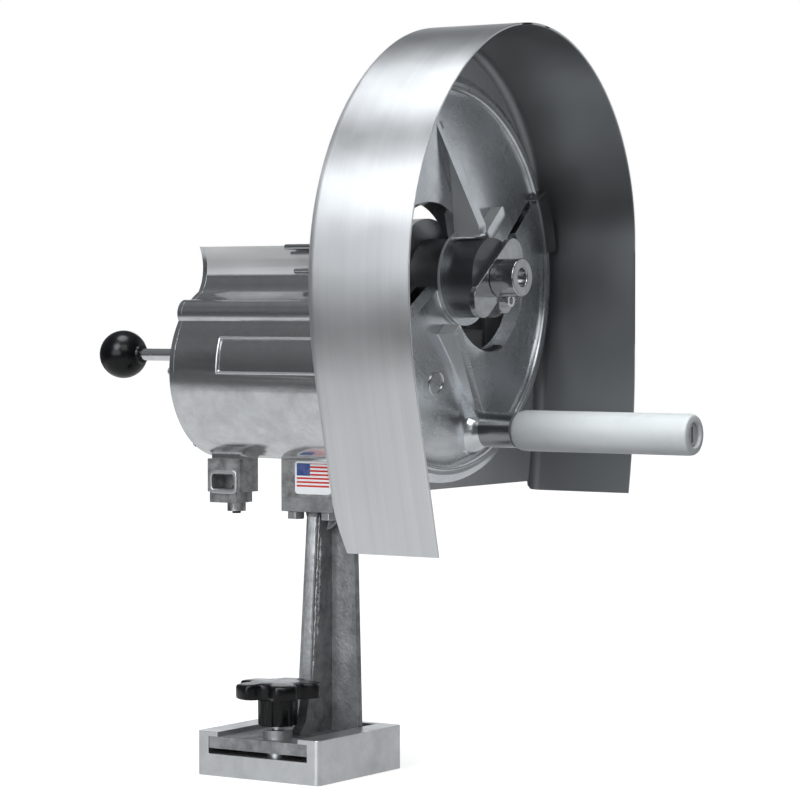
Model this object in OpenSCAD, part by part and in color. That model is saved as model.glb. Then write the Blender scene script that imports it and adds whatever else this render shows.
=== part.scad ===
// Hand cranked vegetable slicer: a barrel casting on a sliding stand, a round cutting disc
// with a crank, and a bent sheet guard round it.
// X runs along the shaft towards the crank, Y away from the slot's open end, Z up.
// The origin is the centre of the base's bottom face.

/* [Base and slide] */
// Length of the square base along the shaft
base_len = 94.5; // [88:0.5:120]
// Depth of the base across the shaft
base_dep = 94; // [88:0.5:110]
// Height of the base block
base_h = 28; // [26:1:36]
// Radius of the base's upright corners
base_corner = 3.5; // [2:0.5:6]
// Width of the slot's mouth between the lips
slot_mouth = 62; // [58:1:66]
// Width of the slot under the lips
slot_under = 76; // [74:1:80]
// Height of the slot's floor
slot_floor_z = 14; // [12:0.5:15]
// Thickness of the two lips over the slot
lip_t = 3; // [2.5:0.5:4]
// Thickness of the wall that closes the slot's far end
slot_end_t = 6; // [4:1:10]
// Spacing of the bench screws along the shaft
bench_dx = 50; // [40:1:56]
// Spacing of the bench screws across the shaft
bench_dy = 56; // [44:1:60]
// Radius of a bench screw hole
bench_r = 3.3; // [2.5:0.1:4]

/* [Stand] */
// Thickness of the plate that slides in the slot
foot_t = 7.5; // [6:0.5:7.5]
// Side clearance of the sliding plate
slide_gap = 0.1; // [0.05:0.05:0.3]
// Width of the column's back flange at the foot
flange_w0 = 50; // [40:1:54]
// Width of the column's back flange at the top
flange_w1 = 36; // [30:1:40]
// Thickness of the column's back flange
flange_t = 5.2; // [4:0.2:8]
// Y of the flange's front face
flange_y = 22.3; // [20:0.1:24]
// Thickness of the column's web
web_t = 7; // [5:0.5:8]
// X of the web's middle
web_x = 6; // [4:0.5:8]
// Y of the web's front edge at the top
web_y1 = 6; // [4:0.5:10]
// Y of the web's front edge near the foot
web_y0 = -3; // [-3.5:0.5:0]
// Thickness of the plate on top of the column
head_t = 9; // [7:0.5:12]
// Z of the column's upper face
head_z = 175; // [160:1:190]
// Radius of the shank of the two bolts under the pad
post_bolt_r = 3; // [2.5:0.5:4]
// Distance between the two bolts under the pad
post_bolt_dx = 26; // [24:1:28]

/* [Clamp screw] */
// Radius of the clamp screw
stud_r = 4; // [3:0.5:5]
// Y of the clamp screw
stud_y = -31.5; // [-34:0.5:-31]
// X of the clamp screw
stud_x = 5; // [0:0.5:8]
// Radius of the boss that the clamp screw runs in
stud_boss_r = 9.3; // [7:0.1:12]
// Height of that boss over the sliding plate
stud_boss_h = 5.7; // [3:0.1:9]
// Radius of the swivel pad at the clamp screw's tip
tip_r = 7; // [5:0.5:10]
// Thickness of the swivel pad
tip_t = 3; // [2:0.5:4]
// Rise of the swivel pad from clamped to loose
tip_lift = 2.5; // [1:0.5:4]
// Radius of the knob over its lobes
knob_r = 27.5; // [20:0.5:28]
// Thickness of the knob's head
knob_t = 10; // [7:0.5:14]
// Radius of the knob's hub
knob_hub_r = 12.5; // [9:0.5:16]
// Length of the knob's hub under the head
knob_hub_h = 18; // [8:0.5:20]
// Count of the knob's lobes
knob_lobes = 5; // [3:1:8]
// Gap between the knob's hub and the boss while clamped
knob_lift = 2.8; // [1:0.1:5]

/* [Barrel housing] */
// Outer radius of the barrel
barrel_r = 57; // [54:1:62]
// Wall of the barrel
barrel_wall = 5; // [4:0.5:6]
// Y of the barrel's middle
barrel_y = 16.25; // [14:0.25:18]
// Height of the pad between the column and the barrel
pad_h = 24; // [20:1:30]
// X of the barrel's closed end
barrel_x0 = -73.5; // [-90:0.5:-65]
// X of the barrel's open end, behind the disc
barrel_x1 = 93.7; // [90:0.1:97]
// Height of the feed mouth's top edge over the spindle
mouth_rise = 21; // [16:1:28]
// Thickness of the walls beside the feed mouth
mouth_wall = 4; // [3:0.5:6]
// Radius of the rounded bead along the near side
bead_r = 9; // [7:0.5:11]
// Radius of the hollow cove over the bead
cove_r = 27.2; // [24:0.2:30]
// Radius of the flange behind the guard
rim_r = 66; // [63:0.5:70]
// Thickness of that flange
rim_t = 6; // [4:0.5:10]
// Radius of the round boss round the shaft's front bearing
nose_r = 37; // [30:0.5:42]
// Length of the boss that holds both shaft bearings
boss_len = 115; // [90:1:130]
// Width of the lug's opening wall and posts
lug_wall = 4; // [3:0.5:6]
// Height of the lug's opening
lug_window_h = 9.5; // [7:0.5:11]
// Thickness of the rear cover
cover_t = 3.5; // [3:0.5:6]
// Width of the pad under the barrel, along the shaft
pad_w = 40; // [36:1:46]
// Depth of the pad under the barrel
pad_d = 27; // [24:1:32]
// X of the pad's middle
pad_x = 3.5; // [0:0.5:6]
// Width of the lug under the barrel's rear end
lug_w = 26; // [20:1:32]
// Depth of that lug
lug_d = 20; // [16:1:26]
// Z of that lug's lower face
lug_z = 170; // [164:1:178]
// Width of the raised frame of the bare name place
frame_w = 80; // [60:1:90]
// Height of the raised frame
frame_h = 24; // [16:1:28]
// Width of the label on the pad
label_w = 28; // [20:1:34]
// Height of the label
label_h = 21; // [14:1:23]
// Thickness of the label
label_t = 0.4; // [0.3:0.1:1]

/* [Pusher] */
// Radius of the pusher rod
rod_r = 4; // [3:0.5:6]
// Height of the pusher rod over the barrel's middle
rod_rise = 9.4; // [0:0.1:16]
// Radius of the ball knob
ball_r = 16; // [12:0.5:20]
// Distance from the rear cover to the ball's middle at rest
ball_out = 82; // [70:1:110]
// Thickness of the pusher plate
pusher_t = 8; // [5:0.5:12]
// X of the pusher plate's front face at rest
pusher_x = 34; // [0:1:40]

/* [Shaft and blades] */
// Radius of the spindle
spindle_r = 5.5; // [4.5:0.5:6]
// Y of the spindle
shaft_y = 4; // [2:0.5:5]
// Height of the spindle over the top of the barrel's circle
shaft_rise = 2; // [1:0.5:5]
// Radius of the spindle's neck behind the rear bush
neck_r = 3.5; // [3:0.5:4]
// Wall of the two bearing bushes
bush_wall = 2; // [1.5:0.5:2.5]
// Length of a bearing bush
bush_len = 25; // [15:1:40]
// Radial play of running fits
run_fit = 0.05; // [0.02:0.01:0.1]
// Radius of the blade hub
hub_r = 24.5; // [20:0.5:26]
// Length of the blade hub
hub_len = 46; // [40:1:52]
// Width of the blade bar
bar_w = 18; // [14:1:20]
// Thickness of the blade bar
bar_t = 5.2; // [4:0.2:5.4]
// Distance from the blade bar's tip to the disc's rim
bar_in = 19; // [15:1:30]
// Direction of the blade bar, in degrees from level
bar_a = 33; // [20:1:45]
// Thickness of a blade
blade_t = 1.2; // [0.8:0.1:1.4]
// Width of a blade
blade_w = 16; // [14:1:18]
// How far a blade's edge stands out beyond its bar
blade_out = 3; // [2:0.5:4]
// Radius of the nut at the spindle's end
nut_r = 11.75; // [9:0.25:14]
// Length of that nut
nut_len = 17; // [12:0.5:22]
// Depth of the recess in the nut's end
nut_recess = 5; // [2:0.5:8]
// Length of the clamp plate in front of the hub
clamp_len = 66; // [54:1:76]
// Thickness of the clamp plate
clamp_t = 4; // [3:0.5:8]
// Offset of the clamp screw from the shaft, away from the slot
clamp_dy = 8; // [7:0.5:10]
// Drop of the clamp screw under the shaft
clamp_dz = 14; // [13:0.5:16]
// Radius of the clamp screw's head
clamp_head_r = 4.1; // [3.5:0.1:4.2]

/* [Disc and crank] */
// Radius of the disc
disc_r = 127; // [122:0.5:128]
// Thickness of the disc's plate
disc_t = 6; // [5.6:0.2:8]
// Width of the disc's rim outside its raised middle
disc_rim = 41; // [34:1:46]
// Height of the raised middle over the plate
mid_h = 9; // [6:0.5:12]
// Radius of the two round windows, as a share of the raised middle's radius
window_share = 0.535; // [0.45:0.005:0.56]
// Distance of the windows' middles from the shaft, as a share of the same radius
window_off_share = 0.4012; // [0.36:0.0001:0.43]
// Furthest setting of the slice thickness
slice_max = 12; // [6:0.5:12.5]
// Nearest setting of the slice thickness
slice_min = 1.5; // [1:0.25:3]
// Slice setting at rest
slice_rest = 8.5; // [1:0.25:10]
// Direction of the upper rib, in degrees from level
rib_a = 98.5; // [90:0.5:105]
// Height of the upper rib over the raised middle
rib_h = 18; // [6:0.5:20]
// Distance of the lower rib's hub end from the shaft, across and down
rib_from = [-24, -31];
// Height of the lower rib over the raised middle
low_rib_h = 12; // [4:0.5:16]
// Distance from the crank's axis to the disc's rim
crank_in = 28; // [21:1:36]
// Direction of the crank at rest, in degrees from level
crank_a = -73; // [-85:1:-60]
// Radius of the crank's boss
crank_r = 11; // [9:0.5:14]
// X of the end of the crank's boss
crank_x = 142.6; // [135:0.1:150]
// Radius of the pin inside the grip
pin_r = 5; // [4:0.5:6.5]
// Radius of the grip
grip_r = 12.7; // [11:0.1:16]
// Length of the grip
grip_len = 124; // [100:1:140]

/* [Guard] */
// Thickness of the guard's sheet
guard_t = 1.6; // [1.2:0.1:2.5]
// X of the guard's front rim
guard_x1 = 167.3; // [155:0.1:180]
// Room between the disc's rim and the guard's highest point
arch_room = 28.4; // [24:0.2:36]
// Y of the guard's highest point
arch_y = 12.3; // [8:0.1:16]
// Outer radius of the arch at its top, less than the disc's by this much
arch_less = 6.7; // [3:0.1:11]
// Outer radius of the near shoulder, more than the disc's by this much
near_more = 34.3; // [28:0.1:41]
// Outer radius of the far shoulder, more than the disc's by this much
far_more = 4.8; // [1:0.1:9]
// Half angle of the top arc, in degrees
arch_half = 28.65; // [26:0.05:31]
// Radius of the bend in the near leg
near_leg_r = 274.5; // [250:0.5:300]
// Turn of the near leg, in degrees
near_leg_a = 13.7; // [10:0.1:16]
// Straight length of the near leg
near_leg_len = 101.4; // [80:0.1:110]
// How far forward the near leg's rear edge has run at its foot
near_cut = 9.5; // [0:0.5:16]
// Straight length of the far leg
far_leg_len = 78; // [60:1:90]
// Radius of the bend in the far leg
far_leg_r = 462; // [400:1:520]
// Turn of the far leg, in degrees
far_leg_a = 10.6; // [8:0.1:12]
// Z of the back sheet's lower edge
sheet_z = 183; // [178:1:188]
// Count of the screws that hold the guard
guard_screws_n = 5; // [3:1:6]

/* [Hidden] */

steel = "#8f9499";
cast = "#a9adb0";
polished = "#c6cacd";
black = "#17181a";
white = "#f0efe8";
bronze = "#a9824f";

eps = 0.01;
barrel_z = head_z + pad_h + barrel_r;
shaft_z = barrel_z + barrel_r + shaft_rise;
mouth_z = shaft_z + mouth_rise;
rod_z = barrel_z + rod_rise;
mid_r = disc_r - disc_rim;
window_r = mid_r * window_share;
window_off = mid_r * window_off_share;
bar_reach = disc_r - bar_in;
crank_arm = disc_r - crank_in;
arch_z = shaft_z + disc_r + arch_room;
arch_r = disc_r - arch_less;
near_r = disc_r + near_more;
far_r = disc_r + far_more;
lip_z = base_h - lip_t;
foot_z0 = lip_z - foot_t;
foot_w = slot_under - 2 * slide_gap;
foot_y0 = -base_dep / 2 + 0.5;
foot_y1 = base_dep / 2 - slot_end_t;
boss_z = lip_z + stud_boss_h;
tip_z0 = slot_floor_z;
knob_z = boss_z + knob_lift;
knob_top = knob_z + knob_hub_h + knob_t;
head_y0 = web_y1 - 3.25;
head_y1 = head_y0 + pad_d;
head_z0 = head_z - head_t;
bolt_head_h = 5;
bolt_head_r = 5.8;
post_bolt_y = head_y0 + 6.5;
pad_top = barrel_z - barrel_r + 8;
bead_y = barrel_y - barrel_r * 0.692;
bead_z = barrel_z + barrel_r * 0.6456;
cove_y = bead_y - bead_r * 0.956;
cove_z = bead_z + bead_r * 3.3;
channel_r = barrel_r - barrel_wall;
far_y = barrel_y + barrel_r;
near_in_y = shaft_y - 6.5;
boss_r = spindle_r + bush_wall + 1.9;
bush_r = spindle_r + run_fit + bush_wall;
boss_x0 = barrel_x1 - boss_len;
nose_x1 = barrel_x1 + 1.3;
guard_x0 = barrel_x1;
sheet_x1 = guard_x0 + guard_t;
cover_x1 = barrel_x0 + cover_t;
lug_x = barrel_x0 + 1 + lug_w / 2;
lug_y = barrel_y - 7.5;
lug_screw_r = 2.75;
rod_fit = rod_r + run_fit;
ball_x = barrel_x0 - ball_out;
rod_x0 = ball_x + ball_r - 8;
nut_h = 5;
washer_t = 1.5;
hub_x0 = nose_x1 + washer_t;
hub_x1 = hub_x0 + hub_len;
blade_x0 = sheet_x1 + 0.4;
bar_x0 = blade_x0 + blade_t;
bar_x1 = bar_x0 + bar_t;
disc_x0 = blade_x0 + slice_rest + 0.2;
disc_x1 = disc_x0 + disc_t;
mid_x1 = disc_x1 + mid_h;
slit_w = 5;
sleeve_r = hub_r + 5;
sleeve_x1 = mid_x1 + 3;
nut_x0 = hub_x1 + clamp_t;
nut_x1 = nut_x0 + nut_len;
screw_r = 2;
collar_w = 10;
collar_r = shaft_y - near_in_y - 0.3;
collar_screw_r = 1.5;
collar_x1 = boss_x0 - 0.3;
spindle_x0 = collar_x1 - collar_w - 3;
crank_y = shaft_y + crank_arm * cos(crank_a);
crank_z = shaft_z + crank_arm * sin(crank_a);
grip_x0 = crank_x + 0.3;
grip_x1 = grip_x0 + grip_len;
grip_recess = 5;
grip_head_r = 7;
near_cy = arch_y + (near_r - arch_r) * sin(arch_half);
near_cz = arch_z - arch_r - (near_r - arch_r) * cos(arch_half);
far_cy = arch_y - (far_r - arch_r) * sin(arch_half);
far_cz = arch_z - arch_r - (far_r - arch_r) * cos(arch_half);
near_leg_cy = near_cy - near_r + near_leg_r;
near_a = 180 + near_leg_a;
far_leg_cz = far_cz - far_leg_len;
far_leg_cy = far_cy + far_r - far_leg_r;
far_end_y = far_leg_cy + far_leg_r * cos(far_leg_a);
far_end_z = far_leg_cz - far_leg_r * sin(far_leg_a);
near_end_y = near_leg_cy + near_leg_r * cos(near_a) - near_leg_len * sin(near_a);
near_end_z = near_cz + near_leg_r * sin(near_a) + near_leg_len * cos(near_a);
guard_screw_r = 2.5;
guard_ring_r = (rim_r + barrel_r) / 2;

// Shapes that repeat

// A flat outline in Y and Z, drawn out along X
module along_x(x0, len) {
    translate([x0, 0, 0]) rotate([90, 0, 90]) linear_extrude(len) children();
}

// A round bar along X
module rod_x(x0, len, r, y, z) {
    translate([x0, y, z]) rotate([0, 90, 0]) cylinder(r = r, h = len, $fn = 96);
}

// A round bar along Z
module rod_z(x, y, z0, len, r) {
    translate([x, y, z0]) cylinder(r = r, h = len, $fn = 64);
}

// A ring along X
module tube_x(x0, len, r_out, r_in, y, z) {
    difference() {
        rod_x(x0, len, r_out, y, z);
        rod_x(x0 - 1, len + 2, r_in, y, z);
    }
}

// A rectangle with round corners
module soft_rect(w, h, r) {
    for (x = [-w / 2 + r, w / 2 - r])
        for (y = [-h / 2 + r, h / 2 - r])
            translate([x, y]) circle(r = r, $fn = 48);
    square([w - 2 * r, h], center = true);
    square([w, h - 2 * r], center = true);
}

// What is drawn about the shaft, turned by an angle in the disc's plane
module about_shaft(a) {
    translate([shaft_y, shaft_z]) rotate(a) children();
}

// Base

module bench_holes() {
    for (x = [-bench_dx / 2, bench_dx / 2])
        for (y = [-bench_dy / 2, bench_dy / 2]) {
            rod_z(x, y, -1, slot_floor_z + 2, bench_r);
            translate([x, y, slot_floor_z - bench_r])
                cylinder(r1 = bench_r, r2 = 2 * bench_r + eps, h = bench_r + eps, $fn = 64);
        }
}

module base_block() {
    slot_len = base_dep - slot_end_t + 1;
    color(polished)
    difference() {
        linear_extrude(base_h) soft_rect(base_len, base_dep, base_corner);
        translate([-slot_under / 2, -base_dep / 2 - 1, slot_floor_z])
            cube([slot_under, slot_len, lip_z - slot_floor_z]);
        translate([-slot_mouth / 2, -base_dep / 2 - 1, lip_z - 1])
            cube([slot_mouth, slot_len, lip_t + 2]);
        bench_holes();
    }
}

// Stand

module post_flange() {
    w1 = flange_w1 / 2;
    translate([0, flange_y + flange_t, 0]) rotate([90, 0, 0])
        linear_extrude(flange_t)
            polygon([[web_x - flange_w0 / 2, foot_z0 + 1], [web_x + flange_w0 / 2 - 1, foot_z0 + 1],
                [web_x + w1 + 2, head_z0 + 1], [web_x - w1 + 2, head_z0 + 1]]);
}

module post_web() {
    translate([web_x - web_t / 2, 0, 0]) rotate([90, 0, 90])
        linear_extrude(web_t)
            polygon([[flange_y + 1, foot_z0 + 1], [web_y0 - 10, foot_z0 + 1], [web_y0 - 10, lip_z + 2],
                [web_y0 - 4, lip_z + 8], [web_y0, knob_z + knob_hub_h - 2], [web_y1, head_z0 + 1],
                [flange_y + 1, head_z0 + 1]]);
}

// The rounded rib where the web meets the plate above it
module post_rib() {
    r = 13;
    translate([web_x, flange_y + 1, head_z0 + 1]) rotate([90, 0, 0])
        linear_extrude(6) intersection() {
            circle(r = r, $fn = 64);
            translate([-r, -r]) square([2 * r, r]);
        }
}

module post_bolt_places() {
    for (s = [-1, 1]) translate([pad_x + s * post_bolt_dx / 2, post_bolt_y, 0]) children();
}

module post() {
    color(cast)
    difference() {
        union() {
            translate([-foot_w / 2, foot_y0, foot_z0]) cube([foot_w, foot_y1 - foot_y0, foot_t]);
            post_flange();
            post_web();
            post_rib();
            translate([pad_x - pad_w / 2, head_y0, head_z0]) cube([pad_w, pad_d, head_t]);
            rod_z(stud_x, stud_y, lip_z - 1, stud_boss_h + 1, stud_boss_r);
        }
        rod_z(stud_x, stud_y, foot_z0 - 1, foot_t + stud_boss_h + 2, stud_r + run_fit);
        rod_z(stud_x, stud_y, foot_z0 - 1, tip_z0 + tip_t + tip_lift + 1.2 - foot_z0, tip_r + 0.5);
        post_bolt_places() translate([0, 0, head_z0 - 1])
            cylinder(r = post_bolt_r + 0.3, h = head_t + 2, $fn = 64);
    }
}

module post_bolts() {
    color(steel)
    post_bolt_places() {
        translate([0, 0, head_z0 - bolt_head_h]) cylinder(r = bolt_head_r, h = bolt_head_h, $fn = 6);
        translate([0, 0, head_z0 - 1]) cylinder(r = post_bolt_r, h = head_t + 13, $fn = 64);
    }
}

// Clamp screw

module clamp_pad() {
    color(steel)
    difference() {
        rod_z(stud_x, stud_y, tip_z0, tip_t, tip_r);
        rod_z(stud_x, stud_y, tip_z0 + tip_t - 1.5, 2, stud_r - 1 + run_fit);
    }
}

module clamp_stud() {
    color(steel)
    union() {
        rod_z(stud_x, stud_y, tip_z0 + tip_t - 1.5, 2, stud_r - 1);
        rod_z(stud_x, stud_y, tip_z0 + tip_t, knob_z + knob_hub_h - tip_z0 - tip_t, stud_r);
    }
}

module knob_outline() {
    lobe = knob_r * 0.3;
    circle(r = knob_r * 0.62, $fn = 64);
    for (i = [0 : knob_lobes - 1]) rotate(i * 360 / knob_lobes + 28) {
        translate([knob_r - lobe, 0]) circle(r = lobe, $fn = 48);
        translate([0, -lobe]) square([knob_r - lobe, 2 * lobe]);
    }
}

module clamp_knob() {
    crown = 2.5;
    color(black)
    translate([stud_x, stud_y, 0])
    difference() {
        union() {
            translate([0, 0, knob_z]) cylinder(r = knob_hub_r, h = knob_hub_h + 1, $fn = 64);
            translate([0, 0, knob_z + knob_hub_h]) linear_extrude(knob_t - crown) knob_outline();
            translate([0, 0, knob_top - crown])
                cylinder(r1 = knob_r * 0.62, r2 = knob_r * 0.4, h = crown, $fn = 64);
        }
        translate([0, 0, knob_z - 1]) cylinder(r = stud_r, h = knob_hub_h + 1, $fn = 64);
    }
}

// Barrel housing

module feed_channel() {
    translate([barrel_y, barrel_z]) circle(r = channel_r, $fn = 128);
    translate([near_in_y, barrel_z])
        square([far_y - mouth_wall - near_in_y, mouth_z - barrel_z + 1]);
}

module shaft_disc(r) {
    translate([shaft_y, shaft_z]) circle(r = r, $fn = 128);
}

module housing_outline() {
    translate([barrel_y, barrel_z]) circle(r = barrel_r, $fn = 160);
    translate([barrel_y, barrel_z]) square([barrel_r, mouth_z - barrel_z]);
    translate([bead_y, bead_z]) circle(r = bead_r, $fn = 64);
    translate([bead_y, bead_z - bead_r]) square([barrel_y - bead_y, 2 * bead_r]);
    difference() {
        translate([bead_y, bead_z]) square([barrel_y - bead_y, mouth_z - bead_z]);
        translate([cove_y, cove_z]) circle(r = cove_r, $fn = 96);
    }
}

module housing_section(boss) {
    difference() {
        housing_outline();
        difference() {
            feed_channel();
            if (boss) shaft_disc(boss_r);
        }
    }
}

module rim_section() {
    difference() {
        union() {
            translate([barrel_y, barrel_z]) circle(r = rim_r, $fn = 160);
            shaft_disc(nose_r);
            translate([barrel_y, barrel_z]) square([rim_r, mouth_z - barrel_z]);
        }
        difference() {
            feed_channel();
            shaft_disc(boss_r + 5);
        }
    }
}

module guard_screw_places(x) {
    for (i = [0 : guard_screws_n - 1]) {
        a = 188 + i * 174 / (guard_screws_n - 1);
        translate([x, barrel_y + guard_ring_r * cos(a), barrel_z + guard_ring_r * sin(a)])
            rotate([0, 90, 0]) children();
    }
}

module cover_screw_places(x) {
    ring = (channel_r + barrel_r) / 2;
    for (a = [180, 239, 301, 350])
        translate([x, barrel_y + ring * cos(a), barrel_z + ring * sin(a)]) rotate([0, 90, 0]) children();
    translate([x, far_y - mouth_wall / 2, mouth_z - 14]) rotate([0, 90, 0]) children();
}

// The lug under the rear end, open to the near side, with a blind hole for its screw
module rear_lug() {
    z_step = lug_z + 7;
    difference() {
        union() {
            translate([lug_x - lug_w / 2, lug_y - lug_d / 2, z_step])
                cube([lug_w, lug_d, barrel_z - barrel_r - 0.5 - z_step]);
            translate([cover_x1 + 1, lug_y - lug_d / 2, barrel_z - barrel_r - 2])
                cube([lug_w - cover_t, lug_d, barrel_wall]);
            translate([lug_x - lug_w / 2 + 1, lug_y - lug_d / 2 + 1, lug_z])
                cube([lug_w - 5, lug_d - 2, 8]);
            rod_z(lug_x + 3, lug_y, lug_z - 5.5, 7, 6);
        }
        translate([lug_x - lug_w / 2 + lug_wall, lug_y - lug_d / 2 - 1, z_step + lug_wall / 2])
            cube([lug_w - 2 * lug_wall, lug_d - lug_wall - 1, lug_window_h]);
        rod_z(lug_x + 3, lug_y, lug_z - 6, 20, lug_screw_r);
    }
}

module name_frame() {
    z = barrel_z + 10.5;
    intersection() {
        rod_x(pad_x - frame_w / 2, frame_w, barrel_r + 1, barrel_y, barrel_z);
        translate([pad_x, barrel_y - barrel_r - 2, z]) rotate([-90, 0, 0])
            linear_extrude(barrel_r * 0.6) difference() {
                soft_rect(frame_w, frame_h, 2);
                soft_rect(frame_w - 4, frame_h - 4, 1);
            }
    }
}

module housing() {
    body_x0 = cover_x1;
    color(polished)
    difference() {
        union() {
            along_x(body_x0, boss_x0 - body_x0) housing_section(false);
            along_x(boss_x0 - eps, barrel_x1 - boss_x0 + eps) housing_section(true);
            along_x(barrel_x1 - rim_t, rim_t) rim_section();
            along_x(barrel_x1 - rim_t, nose_x1 - barrel_x1 + rim_t) difference() {
                shaft_disc(nose_r);
                difference() {
                    feed_channel();
                    shaft_disc(boss_r + 5);
                }
            }
            difference() {
                translate([pad_x - pad_w / 2, head_y0, head_z]) cube([pad_w, pad_d, pad_top - head_z]);
                rod_x(pad_x - pad_w, 2 * pad_w, channel_r + 1, barrel_y, barrel_z);
            }
            rear_lug();
            difference() {
                name_frame();
                rod_x(pad_x - pad_w, 4 * pad_w, channel_r + 1, barrel_y, barrel_z);
            }
        }
        rod_x(boss_x0 - 1, nose_x1 - boss_x0 + 2, spindle_r + 0.6, shaft_y, shaft_z);
        rod_x(nose_x1 - bush_len, bush_len + 1, bush_r, shaft_y, shaft_z);
        rod_x(boss_x0 - 1, bush_len + 1, bush_r, shaft_y, shaft_z);
        post_bolt_places() translate([0, 0, head_z - 1])
            cylinder(r = post_bolt_r, h = 14, $fn = 64);
        guard_screw_places(barrel_x1 - rim_t + 1) cylinder(r = guard_screw_r, h = rim_t, $fn = 48);
        cover_screw_places(cover_x1 - 1) cylinder(r = 1.5, h = 9, $fn = 48);
    }
}

module rear_cover() {
    color(polished)
    difference() {
        along_x(barrel_x0, cover_t) housing_outline();
        rod_x(barrel_x0 - 1, cover_t + 2, rod_r + 3, barrel_y, rod_z);
        cover_screw_places(barrel_x0 - 1) cylinder(r = 1.8, h = cover_t + 2, $fn = 48);
    }
}

module rear_cover_screws() {
    color(steel)
    cover_screw_places(barrel_x0) {
        translate([0, 0, -1.6]) cylinder(r1 = 2.2, r2 = 3, h = 1.6, $fn = 48);
        cylinder(r = 1.5, h = cover_t + 7, $fn = 48);
    }
}

module rod_bushing() {
    color(bronze)
    difference() {
        union() {
            rod_x(barrel_x0, cover_t + 4, rod_r + 3, barrel_y, rod_z);
            rod_x(barrel_x0 - 3, 3, rod_r + 6, barrel_y, rod_z);
            rod_x(cover_x1, 4, rod_r + 5, barrel_y, rod_z);
        }
        rod_x(barrel_x0 - 4, cover_t + 10, rod_fit, barrel_y, rod_z);
    }
}

module label_plate() {
    color(white)
    translate([pad_x + 5, head_y0, head_z + 2.5 + label_h / 2]) rotate([90, 0, 0])
        linear_extrude(label_t) soft_rect(label_w, label_h, 2.5);
}

module lug_screw() {
    color(black)
    rod_z(lug_x + 3, lug_y, lug_z - 7, 18, lug_screw_r);
}

module front_bushing() {
    color(bronze)
    tube_x(nose_x1 - bush_len, bush_len, bush_r, spindle_r + run_fit, shaft_y, shaft_z);
}

module rear_bushing() {
    color(bronze)
    tube_x(boss_x0, bush_len, bush_r, spindle_r + run_fit, shaft_y, shaft_z);
}

// Pusher

module pusher_rod() {
    color(steel)
    union() {
        rod_x(rod_x0, pusher_x - pusher_t - rod_x0, rod_r, barrel_y, rod_z);
        rod_x(pusher_x - pusher_t - 1, pusher_t + nut_h, rod_r - 1, barrel_y, rod_z);
    }
}

module pusher_plate() {
    color(cast)
    difference() {
        along_x(pusher_x - pusher_t, pusher_t) difference() {
            translate([barrel_y, barrel_z]) circle(r = channel_r - 0.6, $fn = 128);
            shaft_disc(boss_r + 1);
        }
        rod_x(pusher_x - pusher_t - 1, pusher_t + 2, rod_r - 1, barrel_y, rod_z);
        tube_x(pusher_x - pusher_t / 2, pusher_t, channel_r * 0.75, rod_r * 3, barrel_y, barrel_z);
    }
}

module pusher_nut() {
    color(steel)
    difference() {
        translate([pusher_x, barrel_y, rod_z]) rotate([0, 90, 0]) cylinder(r = 6.5, h = nut_h, $fn = 6);
        rod_x(pusher_x - 1, nut_h + 2, rod_r - 1, barrel_y, rod_z);
    }
}

module ball_knob() {
    color(black)
    difference() {
        union() {
            translate([ball_x, barrel_y, rod_z]) sphere(r = ball_r, $fn = 96);
            rod_x(ball_x + ball_r - 3, 4, rod_r + 2, barrel_y, rod_z);
        }
        rod_x(rod_x0, ball_r + 4, rod_r, barrel_y, rod_z);
    }
}

// Spindle, hub and blades

module spindle() {
    color(steel)
    union() {
        rod_x(spindle_x0, collar_x1 - spindle_x0 + 1, neck_r, shaft_y, shaft_z);
        rod_x(collar_x1, nut_x1 - nut_recess - collar_x1, spindle_r, shaft_y, shaft_z);
    }
}

module retaining_collar() {
    color(steel)
    difference() {
        rod_x(collar_x1 - collar_w, collar_w, collar_r, shaft_y, shaft_z);
        rod_x(collar_x1 - collar_w - 1, collar_w + 2, neck_r, shaft_y, shaft_z);
        rod_z(collar_x1 - collar_w / 2, shaft_y, shaft_z - boss_r, boss_r, collar_screw_r);
    }
}

module collar_screw() {
    len = collar_r - neck_r;
    color(steel)
    rod_z(collar_x1 - collar_w / 2, shaft_y, shaft_z - collar_r, len, collar_screw_r);
}

module thrust_washer() {
    color(bronze)
    tube_x(nose_x1, washer_t, boss_r + 4, spindle_r + run_fit, shaft_y, shaft_z);
}

module bar_arms(width, reach) {
    about_shaft(bar_a) translate([-reach, -width / 2]) square([2 * reach, width]);
}

module blade_screw_places(x) {
    for (s = [0, 180])
        for (r = [0.4, 0.65, 0.88])
            translate([x, shaft_y, shaft_z]) rotate([90, 0, 90]) rotate([0, 0, bar_a + s])
                translate([r * bar_reach, blade_w / 2 + 2 - bar_w / 2 - blade_out, 0]) children();
}

module blade_hub() {
    color(cast)
    difference() {
        union() {
            rod_x(hub_x0, hub_len, hub_r, shaft_y, shaft_z);
            along_x(bar_x0, bar_t) bar_arms(bar_w, bar_reach);
        }
        rod_x(hub_x0 - 1, hub_len + 2, spindle_r, shaft_y, shaft_z);
        blade_screw_places(bar_x0 - 1) cylinder(r = screw_r, h = bar_t, $fn = 32);
    }
}

module blades() {
    root = hub_r + 2;
    color(steel)
    difference() {
        along_x(blade_x0, blade_t) for (s = [0, 180])
            about_shaft(bar_a + s)
                translate([root, -bar_w / 2 - blade_out]) square([bar_reach - root - 1, blade_w]);
        blade_screw_places(blade_x0 - 1) cylinder(r = screw_r, h = blade_t + 2, $fn = 32);
    }
}

module blade_screws() {
    color(steel)
    blade_screw_places(blade_x0) cylinder(r = screw_r, h = blade_t + bar_t - 1, $fn = 32);
}

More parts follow.
